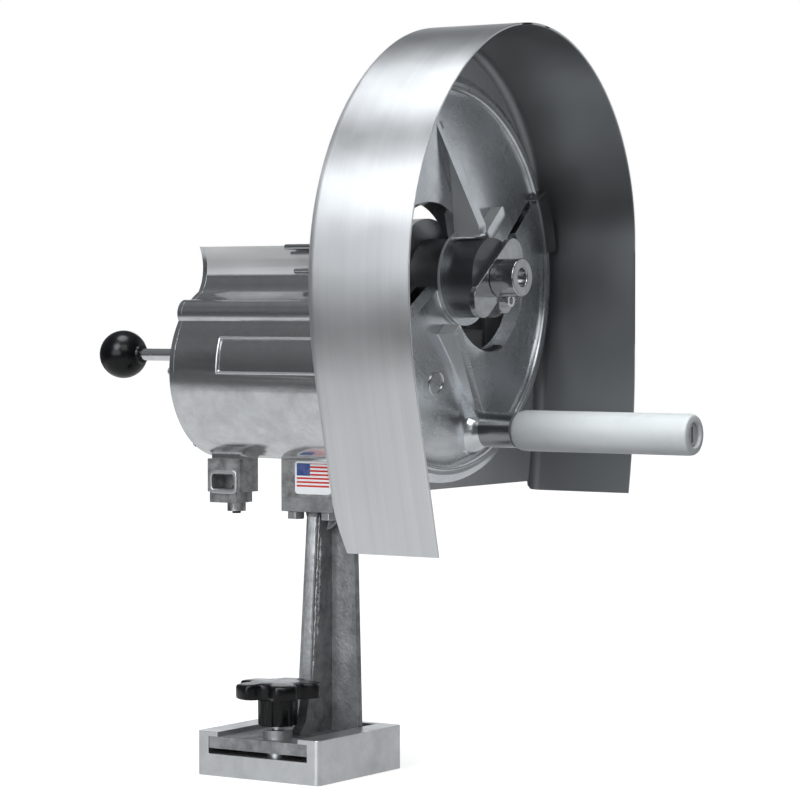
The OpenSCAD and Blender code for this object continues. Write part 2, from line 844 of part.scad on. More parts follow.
module clamp_outline() {
    lobe = 11;
    about_shaft(bar_a + 5) {
        for (s = [-1, 1]) translate([s * (clamp_len / 2 - lobe), 0]) circle(r = lobe, $fn = 64);
        square([clamp_len - 2 * lobe, 2 * lobe], center = true);
    }
    translate([shaft_y + clamp_dy, shaft_z - clamp_dz]) circle(r = 8, $fn = 48);
}

module clamp_plate() {
    color(cast)
    difference() {
        along_x(hub_x1, clamp_t) clamp_outline();
        rod_x(hub_x1 - 1, clamp_t + 2, spindle_r, shaft_y, shaft_z);
        rod_x(hub_x1 - 1, clamp_t + 2, screw_r + 1, shaft_y + clamp_dy, shaft_z - clamp_dz);
    }
}

module clamp_screw() {
    color(steel)
    difference() {
        union() {
            rod_x(hub_x1 + clamp_t, 4, clamp_head_r, shaft_y + clamp_dy, shaft_z - clamp_dz);
            rod_x(hub_x1, clamp_t + 1, screw_r + 1, shaft_y + clamp_dy, shaft_z - clamp_dz);
        }
        translate([hub_x1 + clamp_t + 1.5, shaft_y + clamp_dy, shaft_z - clamp_dz]) rotate([0, 90, 0])
            cylinder(r = 2.4, h = 5, $fn = 6);
    }
}

module shaft_nut() {
    color(cast)
    tube_x(nut_x0, nut_len, nut_r, spindle_r, shaft_y, shaft_z);
}

// Disc and crank

module window(s) {
    intersection() {
        about_shaft(0) translate([s * window_off, 0]) circle(r = window_r, $fn = 128);
        about_shaft(bar_a) translate([-disc_r, s > 0 ? -disc_r - bar_w / 2 : bar_w / 2])
            square([2 * disc_r, disc_r]);
    }
}

module disc_body() {
    translate([0, shaft_y, shaft_z]) rotate([0, 90, 0])
        rotate_extrude($fn = 180)
            polygon([[hub_r + run_fit, disc_x0], [disc_r, disc_x0], [disc_r, disc_x0 + disc_t / 2],
                [disc_r - 5, disc_x1], [disc_r - 9, disc_x1], [disc_r - 10, disc_x1 - 1.2],
                [disc_r - 14, disc_x1 - 1.2], [disc_r - 18, disc_x1], [mid_r * 0.62, mid_x1],
                [sleeve_r, mid_x1], [sleeve_r, sleeve_x1],
                [hub_r + run_fit, sleeve_x1]]);
}

// A tapering rib on the disc's face, out from the sleeve along a direction
module disc_rib(a, reach, top) {
    half = 4;
    translate([0, shaft_y, shaft_z]) rotate([a, 0, 0])
        translate([0, 0, -half]) linear_extrude(2 * half)
            polygon([[disc_x1 - 1, sleeve_r - 2], [top, sleeve_r - 2], [top, sleeve_r + 3],
                [disc_x1 + 1, reach], [disc_x1 - 1, reach]]);
}

// A rib that falls from the raised middle to the crank's boss
module crank_rib() {
    half = 4;
    from = [shaft_y, shaft_z] + rib_from;
    run = [crank_y, crank_z] - from;
    translate([0, from.x, from.y]) rotate([atan2(run.y, run.x), 0, 0])
        translate([0, 0, -half]) linear_extrude(2 * half)
            polygon([[disc_x1 - 1, 0], [mid_x1 + low_rib_h, 0], [mid_x1 + low_rib_h, 3],
                [disc_x1 + 8, norm(run)], [disc_x1 - 1, norm(run)]]);
}

module cutting_disc() {
    color(polished)
    difference() {
        union() {
            disc_body();
            disc_rib(rib_a, disc_r - 28, mid_x1 + rib_h);
            crank_rib();
            rod_x(disc_x1 - 2, crank_x - disc_x1 + 2, crank_r, crank_y, crank_z);
            translate([disc_x1 - 1, crank_y, crank_z]) rotate([0, 90, 0])
                cylinder(r1 = crank_r + 5, r2 = crank_r, h = 9, $fn = 96);
        }
        along_x(disc_x0 - 1, disc_t + mid_h + 2) {
            window(1);
            window(-1);
        }
        along_x(disc_x0 - 1, bar_x1 - blade_x0 - slice_min + 1.3) bar_arms(bar_w + 2, bar_reach + 2);
        along_x(disc_x0 - 1, disc_t + mid_h + 2) for (s = [0, 180])
            about_shaft(bar_a + s) translate([sleeve_r + 8, -bar_w / 2 - slit_w])
                square([bar_reach - sleeve_r - 8, slit_w]);
        rod_x(disc_x0 - 1, crank_x - disc_x0 + 2, pin_r, crank_y, crank_z);
    }
}

module crank_pin() {
    color(steel)
    difference() {
        rod_x(disc_x0 + 1, grip_x1 - grip_recess - disc_x0 - 1, pin_r, crank_y, crank_z);
        rod_x(grip_x1 - grip_recess - 14, 15, screw_r, crank_y, crank_z);
    }
}

module handle_grip() {
    color(white)
    difference() {
        union() {
            rod_x(grip_x0 + 4, grip_len - 5, grip_r, crank_y, crank_z);
            translate([grip_x0, crank_y, crank_z]) rotate([0, 90, 0])
                cylinder(r1 = grip_r - 3, r2 = grip_r, h = 4, $fn = 96);
            translate([grip_x1 - 1, crank_y, crank_z]) rotate([0, 90, 0])
                cylinder(r1 = grip_r, r2 = grip_r - 1, h = 1, $fn = 96);
        }
        rod_x(grip_x0 - 1, grip_len + 2, pin_r + run_fit, crank_y, crank_z);
        rod_x(grip_x1 - grip_recess, grip_recess + 1, grip_head_r + 0.4, crank_y, crank_z);
    }
}

module grip_screw() {
    color(steel)
    difference() {
        union() {
            rod_x(grip_x1 - grip_recess, 3, grip_head_r, crank_y, crank_z);
            rod_x(grip_x1 - grip_recess - 13, 14, screw_r, crank_y, crank_z);
        }
        translate([grip_x1 - grip_recess + 2, crank_y - 1, crank_z - 5]) cube([2, 2, 10]);
    }
}

// Guard

function arc_pts(cy, cz, r, a0, a1, n) =
    [for (i = [0 : n]) [cy + r * cos(a0 + (a1 - a0) * i / n), cz + r * sin(a0 + (a1 - a0) * i / n)]];

// The arch drawn in by d, from the near leg's foot over the top to the far leg's foot,
// with both feet drawn down by a further drop
function arch_pts(d, drop) = concat(
    [[near_end_y + d / cos(near_leg_a) + drop * tan(near_leg_a), near_end_z - drop]],
    arc_pts(near_leg_cy, near_cz, near_leg_r - d, near_a, 180, 8),
    arc_pts(near_cy, near_cz, near_r - d, 180, 90 + arch_half, 36),
    arc_pts(arch_y, arch_z - arch_r, arch_r - d, 90 + arch_half, 90 - arch_half, 30),
    arc_pts(far_cy, far_cz, far_r - d, 90 - arch_half, 0, 36),
    arc_pts(far_leg_cy, far_leg_cz, far_leg_r - d, 0, -far_leg_a, 8),
    [[far_end_y - d - drop * tan(far_leg_a), far_end_z - drop]]);

// The flat back sheet, with its opening for the barrel and the front bearing
module guard_sheet() {
    difference() {
        intersection() {
            polygon(arch_pts(guard_t / 2, 0));
            translate([-near_leg_r, sheet_z]) square([3 * near_leg_r, arch_z]);
        }
        translate([barrel_y, barrel_z]) circle(r = channel_r + 1, $fn = 128);
        shaft_disc(nose_r + 9);
        translate([near_in_y, barrel_z])
            square([far_y - mouth_wall - near_in_y + 1, mouth_z - barrel_z + 2]);
    }
}

module guard() {
    color(steel)
    difference() {
        union() {
            along_x(guard_x0, guard_x1 - guard_x0) difference() {
                polygon(arch_pts(0, 0));
                polygon(arch_pts(guard_t, 12));
            }
            along_x(guard_x0, guard_t) guard_sheet();
        }
        translate([0, shaft_y, 0]) rotate([90, 0, 0]) linear_extrude(near_leg_r)
            polygon([[guard_x0 - 1, sheet_z], [guard_x0, sheet_z], [guard_x0 + near_cut, near_end_z],
                [guard_x0 + near_cut, near_end_z - 5], [guard_x0 - 1, near_end_z - 5]]);
        guard_screw_places(guard_x0 - 1) cylinder(r = guard_screw_r + 0.2, h = guard_t + 2, $fn = 48);
    }
}

module guard_screws() {
    color(steel)
    guard_screw_places(barrel_x1 - rim_t + 1)
        cylinder(r = guard_screw_r, h = rim_t + guard_t - 1, $fn = 48);
}

base_block();
post();
post_bolts();
clamp_pad();
clamp_stud();
clamp_knob();
housing();
rear_cover();
rear_cover_screws();
rod_bushing();
label_plate();
lug_screw();
front_bushing();
rear_bushing();
pusher_rod();
pusher_plate();
pusher_nut();
ball_knob();
spindle();
retaining_collar();
collar_screw();
thrust_washer();
blade_hub();
blades();
blade_screws();
clamp_plate();
clamp_screw();
shaft_nut();
cutting_disc();
crank_pin();
handle_grip();
grip_screw();
guard();
guard_screws();
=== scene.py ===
"""Hand cranked vegetable slicer: the visual model built over the shared frame.

X runs along the shaft towards the crank, Y away from the base slot's open end, Z up. Sizes in
the dataclasses are millimetres; meshes are built in metres. SHAFT is the shaft's (y, z)
in mm, WELD the distance in metres under which points merge. The NOISE spans are where a noise's
values lie, from the middle ones to nearly all.
"""

import logging
import math
import random
from dataclasses import dataclass, field
from enum import Enum

import bmesh
import bpy
from mathutils import Matrix, Vector


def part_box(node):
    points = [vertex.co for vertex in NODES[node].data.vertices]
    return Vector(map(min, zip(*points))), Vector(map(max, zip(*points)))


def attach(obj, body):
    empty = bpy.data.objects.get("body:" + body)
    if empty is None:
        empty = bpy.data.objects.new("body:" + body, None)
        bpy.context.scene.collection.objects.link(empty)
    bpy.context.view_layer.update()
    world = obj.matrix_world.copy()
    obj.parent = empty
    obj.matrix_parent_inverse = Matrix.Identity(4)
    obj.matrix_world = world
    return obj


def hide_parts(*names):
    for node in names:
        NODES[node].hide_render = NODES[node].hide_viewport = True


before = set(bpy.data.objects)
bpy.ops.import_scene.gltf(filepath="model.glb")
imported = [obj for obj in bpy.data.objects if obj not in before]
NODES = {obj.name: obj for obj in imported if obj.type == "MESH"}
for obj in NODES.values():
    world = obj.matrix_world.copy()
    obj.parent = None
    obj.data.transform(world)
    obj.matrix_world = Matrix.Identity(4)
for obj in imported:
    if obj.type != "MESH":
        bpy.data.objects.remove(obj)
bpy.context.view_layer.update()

MM = 0.001
TAU = 2.0 * math.pi
SHAFT = (4.0, 315.0)
ALONG = Vector((1.0, 0.0, 0.0))
WELD = 2e-6
EASED_OVER = math.radians(40.0)
FLAT_SLANT = 0.3
NOISE_CORE = (0.36, 0.62)
NOISE_BODY = (0.34, 0.66)
NOISE_RANGE = (0.3, 0.7)
NOISE_ALL = (0.2, 0.8)

Socket = bpy.types.NodeSocket
Mesh = bmesh.types.BMesh
Pair = tuple[float, float]
Outline = list[Pair] | tuple[Pair, ...]
Triple = tuple[float, float, float]
Colour = tuple[float, float, float, float]
Look = tuple[object, object, object]
log = logging.getLogger("slicer")


class Body(str, Enum):
    """The moving bodies of the frame that pieces ride on."""

    BASE = "base"
    STAND = "stand"
    CLAMP = "clamp"
    PUSHER = "pusher"
    ROTOR = "rotor"
    DISC = "disc"
    GRIP = "grip"


class NodeTree:
    """A node tree with short calls for nodes and links."""

    tree: bpy.types.NodeTree

    def node(self, kind: str, settings: dict[str, object] | None = None, **inputs: object) -> bpy.types.Node:
        """Add a node.

        Args:
            kind: The node's type name.
            settings: Properties of the node itself.
            **inputs: Sockets by name, underscores standing for spaces, or i0, i1 and so on by place; an
                output socket is linked and any other value is set on the socket.

        Returns:
            The new node.
        """
        made = self.tree.nodes.new(kind)
        for key, value in (settings or {}).items():
            setattr(made, key, value)
        for key, value in inputs.items():
            index = int(key[1:]) if key[0] == "i" and key[1:].isdigit() else key.replace("_", " ")
            self.put(made.inputs[index], value)
        return made

    def put(self, socket: Socket, value: object) -> None:
        """Link or set one input socket.

        Args:
            socket: The input.
            value: An output socket, or a constant.
        """
        if isinstance(value, Socket):
            self.tree.links.new(value, socket)
        else:
            socket.default_value = value

    def maths(self, what: str, a: object, b: object = 0.0) -> Socket:
        """Return the result of a maths node on one or two values or sockets."""
        return self.node("ShaderNodeMath", {"operation": what}, i0=a, i1=b).outputs[0]

    def times(self, a: object, b: object) -> Socket:
        """Return the product of two values or sockets."""
        return self.maths("MULTIPLY", a, b)

    def plus(self, a: object, b: object) -> Socket:
        """Return the sum of two values or sockets."""
        return self.maths("ADD", a, b)

    def minus(self, a: object, b: object) -> Socket:
        """Return the difference of two values or sockets."""
        return self.maths("SUBTRACT", a, b)


class Graph(NodeTree):
    """A material's or world's node tree."""

    def __init__(self, name: str, world: bool = False) -> None:
        """Start an empty material or world.

        Args:
            name: Its name.
            world: Whether it is a world.
        """
        self.material = (bpy.data.worlds if world else bpy.data.materials).new(name)
        self.material.use_nodes = True
        self.tree = self.material.node_tree
        self.tree.nodes.clear()

    def noise(self, where: object, scale: float, detail: float, rough: float) -> Socket:
        """Return a noise of so many cycles per metre, with its octaves and their strength."""
        return self.node("ShaderNodeTexNoise", Vector=where, Scale=scale, Detail=detail,
                         Roughness=rough).outputs[0]

    def span(self, value: object, low: float, high: float, to_low: float, to_high: float) -> Socket:
        """Return a value mapped from the span low to high onto to_low to to_high, and kept inside it."""
        return self.node("ShaderNodeMapRange", {"clamp": True}, Value=value, From_Min=low, From_Max=high,
                         To_Min=to_low, To_Max=to_high).outputs[0]

    def zone(self, place: object, low: float, high: float, to_low: float, to_high: float) -> Socket:
        """Return a place along one axis mapped as in span, with low and high in mm."""
        return self.span(place, low * MM, high * MM, to_low, to_high)

    def blend(self, amount: object, first: object, second: object) -> Socket:
        """Return a mix of two colours, where an amount of 0 gives the first one."""
        return self.node("ShaderNodeMix", {"data_type": "RGBA"}, i0=amount, i6=first, i7=second).outputs[2]

    def place(self) -> Socket:
        """Return the Object coordinates, in metres."""
        return self.node("ShaderNodeTexCoord").outputs["Object"]

    def split(self, vector: Socket) -> bpy.types.NodeOutputs:
        """Return a vector's X, Y and Z sockets."""
        return self.node("ShaderNodeSeparateXYZ", Vector=vector).outputs

    def facing(self) -> bpy.types.NodeOutputs:
        """Return the X, Y and Z sockets of the way that the surface faces, in the object's own frame."""
        return self.split(self.node("ShaderNodeTexCoord").outputs["Normal"])

    def bump(self, height: object, strength: float, distance: float, normal: object = None) -> Socket:
        """Add a bump node.

        Args:
            height: The height's socket.
            strength: How strong the bump is.
            distance: The height's size in metres.
            normal: A normal to build on.

        Returns:
            The normal's socket.
        """
        made = self.node("ShaderNodeBump", Height=height, Strength=strength, Distance=distance)
        if normal is not None:
            self.put(made.inputs["Normal"], normal)
        return made.outputs[0]

    def finish(self, **inputs: object) -> bpy.types.Material:
        """Add the surface shader and the output.

        Args:
            **inputs: The shader's sockets by name.

        Returns:
            The finished material.
        """
        shader = self.node("ShaderNodeBsdfPrincipled", None, **inputs)
        self.node("ShaderNodeOutputMaterial", Surface=shader.outputs[0])
        return self.material


def grey(value: float, warm: float = 0.0) -> Colour:
    """Return a grey as a colour, a little warmer or colder."""
    return (value * (1.0 + warm), value, value * (1.0 - warm), 1.0)


@dataclass(frozen=True)
class CastFinish:
    """Cast metal, from mirror polished to raw sand cast.

    A noise is given by its cycles per metre, octaves and the octaves' strength. Those of the stain and the
    grains have their scale apart, and the clouds' and the spots' is a multiple of it.
    """

    name: str
    tone: float
    dark_tone: float
    metallic: float
    rough_low: float
    rough_high: float
    wave: float
    grain: float
    grain_scale: float = 900.0
    stain_scale: float = 26.0
    stain: Pair = (5.0, 0.62)
    cloud: Triple = (4.3, 4.0, 0.6)
    grains: Pair = (2.0, 0.55)
    spots: Triple = (0.33, 3.0, 0.6)
    waves: Triple = (44.0, 1.0, 0.4)
    mix: Pair = (0.6, 0.4)
    tints: Pair = (-0.02, -0.015)
    spots_in: Pair = (0.62, 0.75)
    spots_share: float = 0.3
    spots_tone: float = 0.7
    depths: Triple = (0.0016, 0.0009, 0.0004)

    def zones(self, g: Graph, at: Socket, cloud: Socket, look: Look) -> Look:
        """Return the tone, roughness and grain as they are; a plain casting has no other zones."""
        return look

    def build(self) -> bpy.types.Material:
        """Build the material.

        Returns:
            The material.
        """
        g = Graph(self.name)
        at = g.place()
        slow = g.noise(at, self.stain_scale, *self.stain)
        cloud = g.noise(at, self.stain_scale * self.cloud[0], *self.cloud[1:])
        grain = g.noise(at, self.grain_scale, *self.grains)
        spots = g.noise(at, self.grain_scale * self.spots[0], *self.spots[1:])
        mottle = g.plus(g.times(slow, self.mix[0]), g.times(cloud, self.mix[1]))
        dark_tint, tint = self.tints
        tone = g.blend(g.span(mottle, *NOISE_CORE, 0.0, 1.0), grey(self.dark_tone, dark_tint),
                       grey(self.tone, tint))
        tone = g.blend(g.span(spots, *self.spots_in, 0.0, self.spots_share), tone,
                       grey(self.dark_tone * self.spots_tone))
        rough = g.span(mottle, *NOISE_BODY, self.rough_high, self.rough_low)
        tone, rough, grain = self.zones(g, at, cloud, (tone, rough, grain))
        waves, clouds, grains = self.depths
        normal = g.bump(g.noise(at, *self.waves), self.wave, waves)
        normal = g.bump(cloud, self.wave * 0.5, clouds, normal)
        normal = g.bump(grain, self.grain, grains, normal)
        return g.finish(Base_Color=tone, Metallic=self.metallic, Roughness=rough, Normal=normal)


@dataclass(frozen=True)
class BarrelFinish(CastFinish):
    """The barrel's polished casting: raw at its foot, satin on the upper wall and at the front boss, and
    painted light on the upper wall.
    """

    raw_under: float = 199.5
    raw_fade: float = 1.2
    raw_tones: Pair = (0.2, 0.44)
    raw_rough: float = 0.26
    raw_grain: float = 4.0
    satin_over: float = 316.8
    satin_fade: float = 1.6
    satin_rough: float = 0.28
    # The satin band's tone is lifted by painted light: how strongly, and to which tone.
    satin_painted_light_share: float = 3.2
    satin_painted_light_tone: float = 0.74
    boss_from: float = 44.5
    boss_under: float = 280.0
    boss_fade: Pair = (1.0, 4.0)
    boss_rough: float = 0.26
    boss_share: float = 0.8
    boss_tone: float = 0.34

    def zones(self, g: Graph, at: Socket, cloud: Socket, look: Look) -> Look:
        """Change the look in the raw and the satin parts, and paint light onto the upper wall's satin band.

        Args:
            g: The graph that is being built.
            at: The Object coordinates.
            cloud: The middling noise.
            look: The tone, roughness and grain.

        Returns:
            The tone, roughness and grain.
        """
        tone, rough, grain = look
        along, _, height = g.split(at)
        raw = g.zone(height, self.raw_under - self.raw_fade, self.raw_under, 1.0, 0.0)
        worn = g.blend(g.span(cloud, *NOISE_CORE, 0.0, 1.0), *(grey(value) for value in self.raw_tones))
        tone = g.blend(raw, tone, worn)
        rough = g.plus(rough, g.times(raw, self.raw_rough))
        grain = g.times(grain, g.span(raw, 0.0, 1.0, 1.0, self.raw_grain))
        satin = g.zone(height, self.satin_over, self.satin_over + self.satin_fade, 0.0, self.satin_rough)
        rough = g.plus(rough, satin)
        # Painted light: the satin band's tone is lifted to stand in for the upper wall's light band; its added
        # roughness is the real satin.
        tone = g.blend(g.times(satin, self.satin_painted_light_share), tone, grey(self.satin_painted_light_tone))
        fade, under_fade = self.boss_fade
        boss = g.times(g.zone(along, self.boss_from, self.boss_from + fade, 0.0, 1.0),
                       g.zone(height, self.boss_under, self.boss_under + under_fade, 1.0, 0.0))
        rough = g.plus(rough, g.times(boss, self.boss_rough))
        tone = g.blend(g.times(boss, self.boss_share), tone, grey(self.boss_tone))
        return tone, rough, grain


@dataclass(frozen=True)
class BrushedFinish:
    """Sheet with fine lines along its Run coordinates, bent round an axis along X at (y, z); its inner side has
    painted shade.
    """

    name: str
    tone: float
    roughness: float
    lines: float
    y: float = 12.3
    z: float = 350.1
    fine_scale: Triple = (9.0, 1500.0, 1.0)
    broad_scale: Triple = (2.2, 160.0, 1.0)
    fine: Triple = (1.0, 3.0, 0.6)
    bands: Triple = (1.0, 4.0, 0.6)
    smudge: Triple = (17.0, 4.0, 0.6)
    tint: float = -0.015
    band_tone: float = 0.93
    line_share: float = 0.16
    line_tone: float = 0.66
    line_rough: float = 0.05
    line_depth: float = 0.00016
    smudge_rough: Pair = (-0.05, 0.06)
    stretch: Pair = (0.8, 0.25)
    # Painted shade on the sheet's inner side: where it fades in, how dark it is and its tint.
    painted_shade_fade: Pair = (-0.02, -0.004)
    painted_shade_share: float = 0.4
    painted_shade_tint: float = -0.03

    def inside(self, g: Graph) -> Socket:
        """Tell the sheet's inner side, which gets painted shade, from its brushed outer side.

        Args:
            g: The graph that is being built.

        Returns:
            A value that is 1 on the inner side, where the shade is painted.
        """
        _, y, z = g.split(g.place())
        _, facing_y, facing_z = g.facing()
        out_y = g.times(facing_y, g.minus(y, self.y * MM))
        out_z = g.times(facing_z, g.maths("MAXIMUM", g.minus(z, self.z * MM), 0.0))
        return g.span(g.plus(out_y, out_z), *self.painted_shade_fade, 1.0, 0.0)

    def build(self) -> bpy.types.Material:
        """Build the material.

        Returns:
            The material.
        """
        g = Graph(self.name)
        uv = g.node("ShaderNodeUVMap", {"uv_map": "Run"}).outputs[0]
        long = g.node("ShaderNodeMapping", Vector=uv, Scale=self.fine_scale).outputs[0]
        broad = g.node("ShaderNodeMapping", Vector=uv, Scale=self.broad_scale).outputs[0]
        fine = g.noise(long, *self.fine)
        bands = g.noise(broad, *self.bands)
        smudge = g.noise(g.place(), *self.smudge)
        tone = g.blend(g.span(bands, *NOISE_BODY, 0.0, 1.0), grey(self.tone * self.band_tone, self.tint),
                       grey(self.tone, self.tint))
        tone = g.blend(g.span(fine, *NOISE_RANGE, 0.0, self.line_share), tone, grey(self.tone * self.line_tone))
        # Painted shade: the inner side is darkened to stand in for the guard's own shade and the dark disc that
        # it mirrors.
        tone = g.blend(self.inside(g), tone, grey(self.tone * self.painted_shade_share, self.painted_shade_tint))
        low, high = (self.roughness + more for more in self.smudge_rough)
        rough = g.plus(g.span(smudge, *NOISE_RANGE, low, high), g.span(fine, *NOISE_ALL, 0.0, self.line_rough))
        normal = g.bump(fine, self.lines, self.line_depth)
        run = g.node("ShaderNodeTangent", {"direction_type": "UV_MAP", "uv_map": "Run"}).outputs[0]
        return g.finish(Base_Color=tone, Metallic=1.0, Roughness=rough, Normal=normal, Tangent=run,
                        Anisotropic=self.stretch[0], Anisotropic_Rotation=self.stretch[1])


@dataclass(frozen=True)
class TurnedFinish:
    """Metal turned or polished in circles about one axis along X."""

    name: str
    tone: float
    roughness: float
    y: float
    z: float
    lines: float = 0.16
    metallic: float = 1.0
    blotch: float = 0.8
    squeeze: float = 0.2
    fine: Triple = (2600.0, 3.0, 0.6)
    broad: Triple = (240.0, 3.0, 0.6)
    cloud: Triple = (24.0, 5.0, 0.62)
    wave: Triple = (38.0, 2.0, 0.5)
    tints: Pair = (-0.045, -0.035)
    cloud_in: Pair = (0.36, 0.64)
    broad_in: Pair = (0.4, 0.7)
    broad_share: float = 0.2
    broad_tone: float = 0.68
    worn_in: Pair = (0.35, 0.65)
    worn_rough: Pair = (0.08, -0.03)
    fine_rough: float = 0.06
    line_depth: float = 0.0002
    wave_height: float = 0.12
    wave_depth: float = 0.0012

    def sides(self, g: Graph, at: Socket, look: Look) -> Look:
        """Return the tone, metallic share and roughness as they are; a plain piece is turned all over."""
        return look

    def build(self) -> bpy.types.Material:
        """Build the material.

        Returns:
            The material.
        """
        g = Graph(self.name)
        at = g.place()
        along, y, z = g.split(at)
        dy = g.minus(y, self.y * MM)
        dz = g.minus(z, self.z * MM)
        radius = g.maths("SQRT", g.plus(g.times(dy, dy), g.times(dz, dz)))
        ring = g.node("ShaderNodeCombineXYZ", X=radius, Y=g.times(along, self.squeeze))
        fine = g.noise(ring.outputs[0], *self.fine)
        broad = g.noise(ring.outputs[0], *self.broad)
        cloud = g.noise(at, *self.cloud)
        dark_tint, tint = self.tints
        tone = g.blend(g.span(cloud, *self.cloud_in, 0.0, 1.0), grey(self.tone * self.blotch, dark_tint),
                       grey(self.tone, tint))
        tone = g.blend(g.span(broad, *self.broad_in, 0.0, self.broad_share), tone,
                       grey(self.tone * self.broad_tone))
        dull, bright = (self.roughness + more for more in self.worn_rough)
        rough = g.plus(g.span(cloud, *self.worn_in, dull, bright),
                       g.span(fine, *NOISE_RANGE, 0.0, self.fine_rough))
        normal = g.bump(fine, self.lines, self.line_depth)
        normal = g.bump(g.noise(at, *self.wave), self.wave_height, self.wave_depth, normal)
        tone, metallic, rough = self.sides(g, at, (tone, self.metallic, rough))
        return g.finish(Base_Color=tone, Metallic=metallic, Roughness=rough, Normal=normal)


@dataclass(frozen=True)
class DiscFinish(TurnedFinish):
    """The disc's turned face with lighter, as cast rib sides and a painted dark reflection on the crank boss's
    sides.
    """

    raised_from: float = 119.6
    raised_fade: float = 0.8
    ribs_over: Pair = (240.0, 262.0)
    # boss_under and boss_tone paint a dark reflection onto the crank boss's sides.
    boss_under: Pair = (232.0, 240.0)
    share: float = 0.8
    rib_tone: float = 0.62
    rib_metal: float = 0.8
    rib_rough: float = 0.25
    boss_tone: float = 0.16
    side_tint: float = -0.02
    side_from: Pair = (0.4, 0.75)

    def sides(self, g: Graph, at: Socket, look: Look) -> Look:
        """Change the look on the raised sides: as cast ribs, and a painted dark reflection on the crank boss.

        Args:
            g: The graph that is being built.
            at: The Object coordinates.
            look: The tone, metallic share and roughness.

        Returns:
            The tone, metallic share and roughness.
        """
        tone, metallic, rough = look
        along, _, height = g.split(at)
        side = g.times(g.span(g.maths("ABSOLUTE", g.facing()[0]), *self.side_from, 1.0, 0.0),
                       g.zone(along, self.raised_from, self.raised_from + self.raised_fade, 0.0, 1.0))
        light = g.times(side, g.zone(height, *self.ribs_over, 0.0, self.share))
        # Painted reflection: the crank boss's sides are darkened to stand in for the dark surroundings that
        # they mirror.
        dark = g.times(side, g.zone(height, *self.boss_under, self.share, 0.0))
        tone = g.blend(light, tone, grey(self.rib_tone, self.side_tint))
        tone = g.blend(dark, tone, grey(self.boss_tone, self.side_tint))
        return (tone, g.minus(metallic, g.times(light, self.rib_metal)),
                g.plus(rough, g.times(light, self.rib_rough)))


@dataclass(frozen=True)
class PlasticFinish:
    """Moulded plastic with a faint orange peel, scuffs and dust."""

    name: str
    colour: Colour
    worn: Colour
    roughness: float
    peel: float = 0.12
    shine: float = 0.5
    wear: Triple = (60.0, 5.0, 0.65)
    fine: Triple = (700.0, 3.0, 0.6)
    worn_in: Pair = (0.5, 0.72)
    worn_share: float = 0.55
    rough_in: Pair = (0.35, 0.65)
    rough_more: Pair = (-0.04, 0.08)
    fine_in: Pair = (0.4, 0.7)
    fine_rough: float = 0.04
    peel_depth: float = 0.0003

    def build(self) -> bpy.types.Material:
        """Build the material.

        Returns:
            The material.
        """
        g = Graph(self.name)
        at = g.place()
        wear = g.noise(at, *self.wear)
        fine = g.noise(at, *self.fine)
        colour = g.blend(g.span(wear, *self.worn_in, 0.0, self.worn_share), self.colour, self.worn)
        low, high = (self.roughness + more for more in self.rough_more)
        rough = g.plus(g.span(wear, *self.rough_in, low, high),
                       g.span(fine, *self.fine_in, 0.0, self.fine_rough))
        normal = g.bump(fine, self.peel, self.peel_depth)
        return g.finish(Base_Color=colour, Roughness=rough, Normal=normal, Specular_IOR_Level=self.shine)


@dataclass(frozen=True)
class LabelFinish:
    """A white sticker with plain stripes and a plain block in one corner; margins are shares of its size."""

    name: str
    x0: float
    x1: float
    z0: float
    z1: float
    sides: Pair = (0.05, 0.95)
    foot: float = 0.22
    head: float = 0.94
    stripes: float = 54.0
    block_side: float = 0.42
    block_foot: float = 0.56
    paper: tuple[Colour, Colour] = ((0.80, 0.81, 0.82, 1.0), (0.66, 0.67, 0.69, 1.0))
    red: Colour = (0.55, 0.035, 0.03, 1.0)
    blue: tuple[Colour, Colour] = ((0.03, 0.06, 0.22, 1.0), (0.16, 0.2, 0.36, 1.0))
    mottle: Triple = (160.0, 3.0, 0.6)
    paper_in: Triple = (0.4, 0.7, 0.3)
    blue_in: Triple = (0.45, 0.6, 0.35)
    roughness: Pair = (0.3, 0.42)
    bump_height: float = 0.1
    bump_depth: float = 0.0003
    coat: float = 0.2

    def between(self, g: Graph, share: Socket, low: float, high: float) -> Socket:
        """Return 1 where a share lies over low and under high."""
        return g.times(g.maths("GREATER_THAN", share, low), g.maths("LESS_THAN", share, high))

    def build(self) -> bpy.types.Material:
        """Build the material.

        Returns:
            The material.
        """
        g = Graph(self.name)
        at = g.place()
        x, _, z = g.split(at)
        across = g.zone(x, self.x0, self.x1, 0.0, 1.0)
        up = g.zone(z, self.z0, self.z1, 0.0, 1.0)
        mottle = g.noise(at, *self.mottle)
        low, high, share = self.paper_in
        paper = g.blend(g.span(mottle, low, high, 0.0, share), *self.paper)
        area = g.times(self.between(g, across, *self.sides), self.between(g, up, self.foot, self.head))
        stripe = g.maths("GREATER_THAN", g.maths("SINE", g.times(g.minus(up, self.foot), self.stripes)), 0.0)
        colour = g.blend(g.times(area, stripe), paper, self.red)
        block = self.between(g, across, 0.0, self.block_side)
        block = g.times(block, self.between(g, up, self.block_foot, 1.0))
        low, high, share = self.blue_in
        weave = g.blend(g.span(mottle, low, high, 0.0, share), *self.blue)
        colour = g.blend(g.times(area, block), colour, weave)
        normal = g.bump(mottle, self.bump_height, self.bump_depth)
        return g.finish(Base_Color=colour, Roughness=g.span(mottle, *NOISE_RANGE, *self.roughness),
                        Normal=normal, Coat_Weight=self.coat)


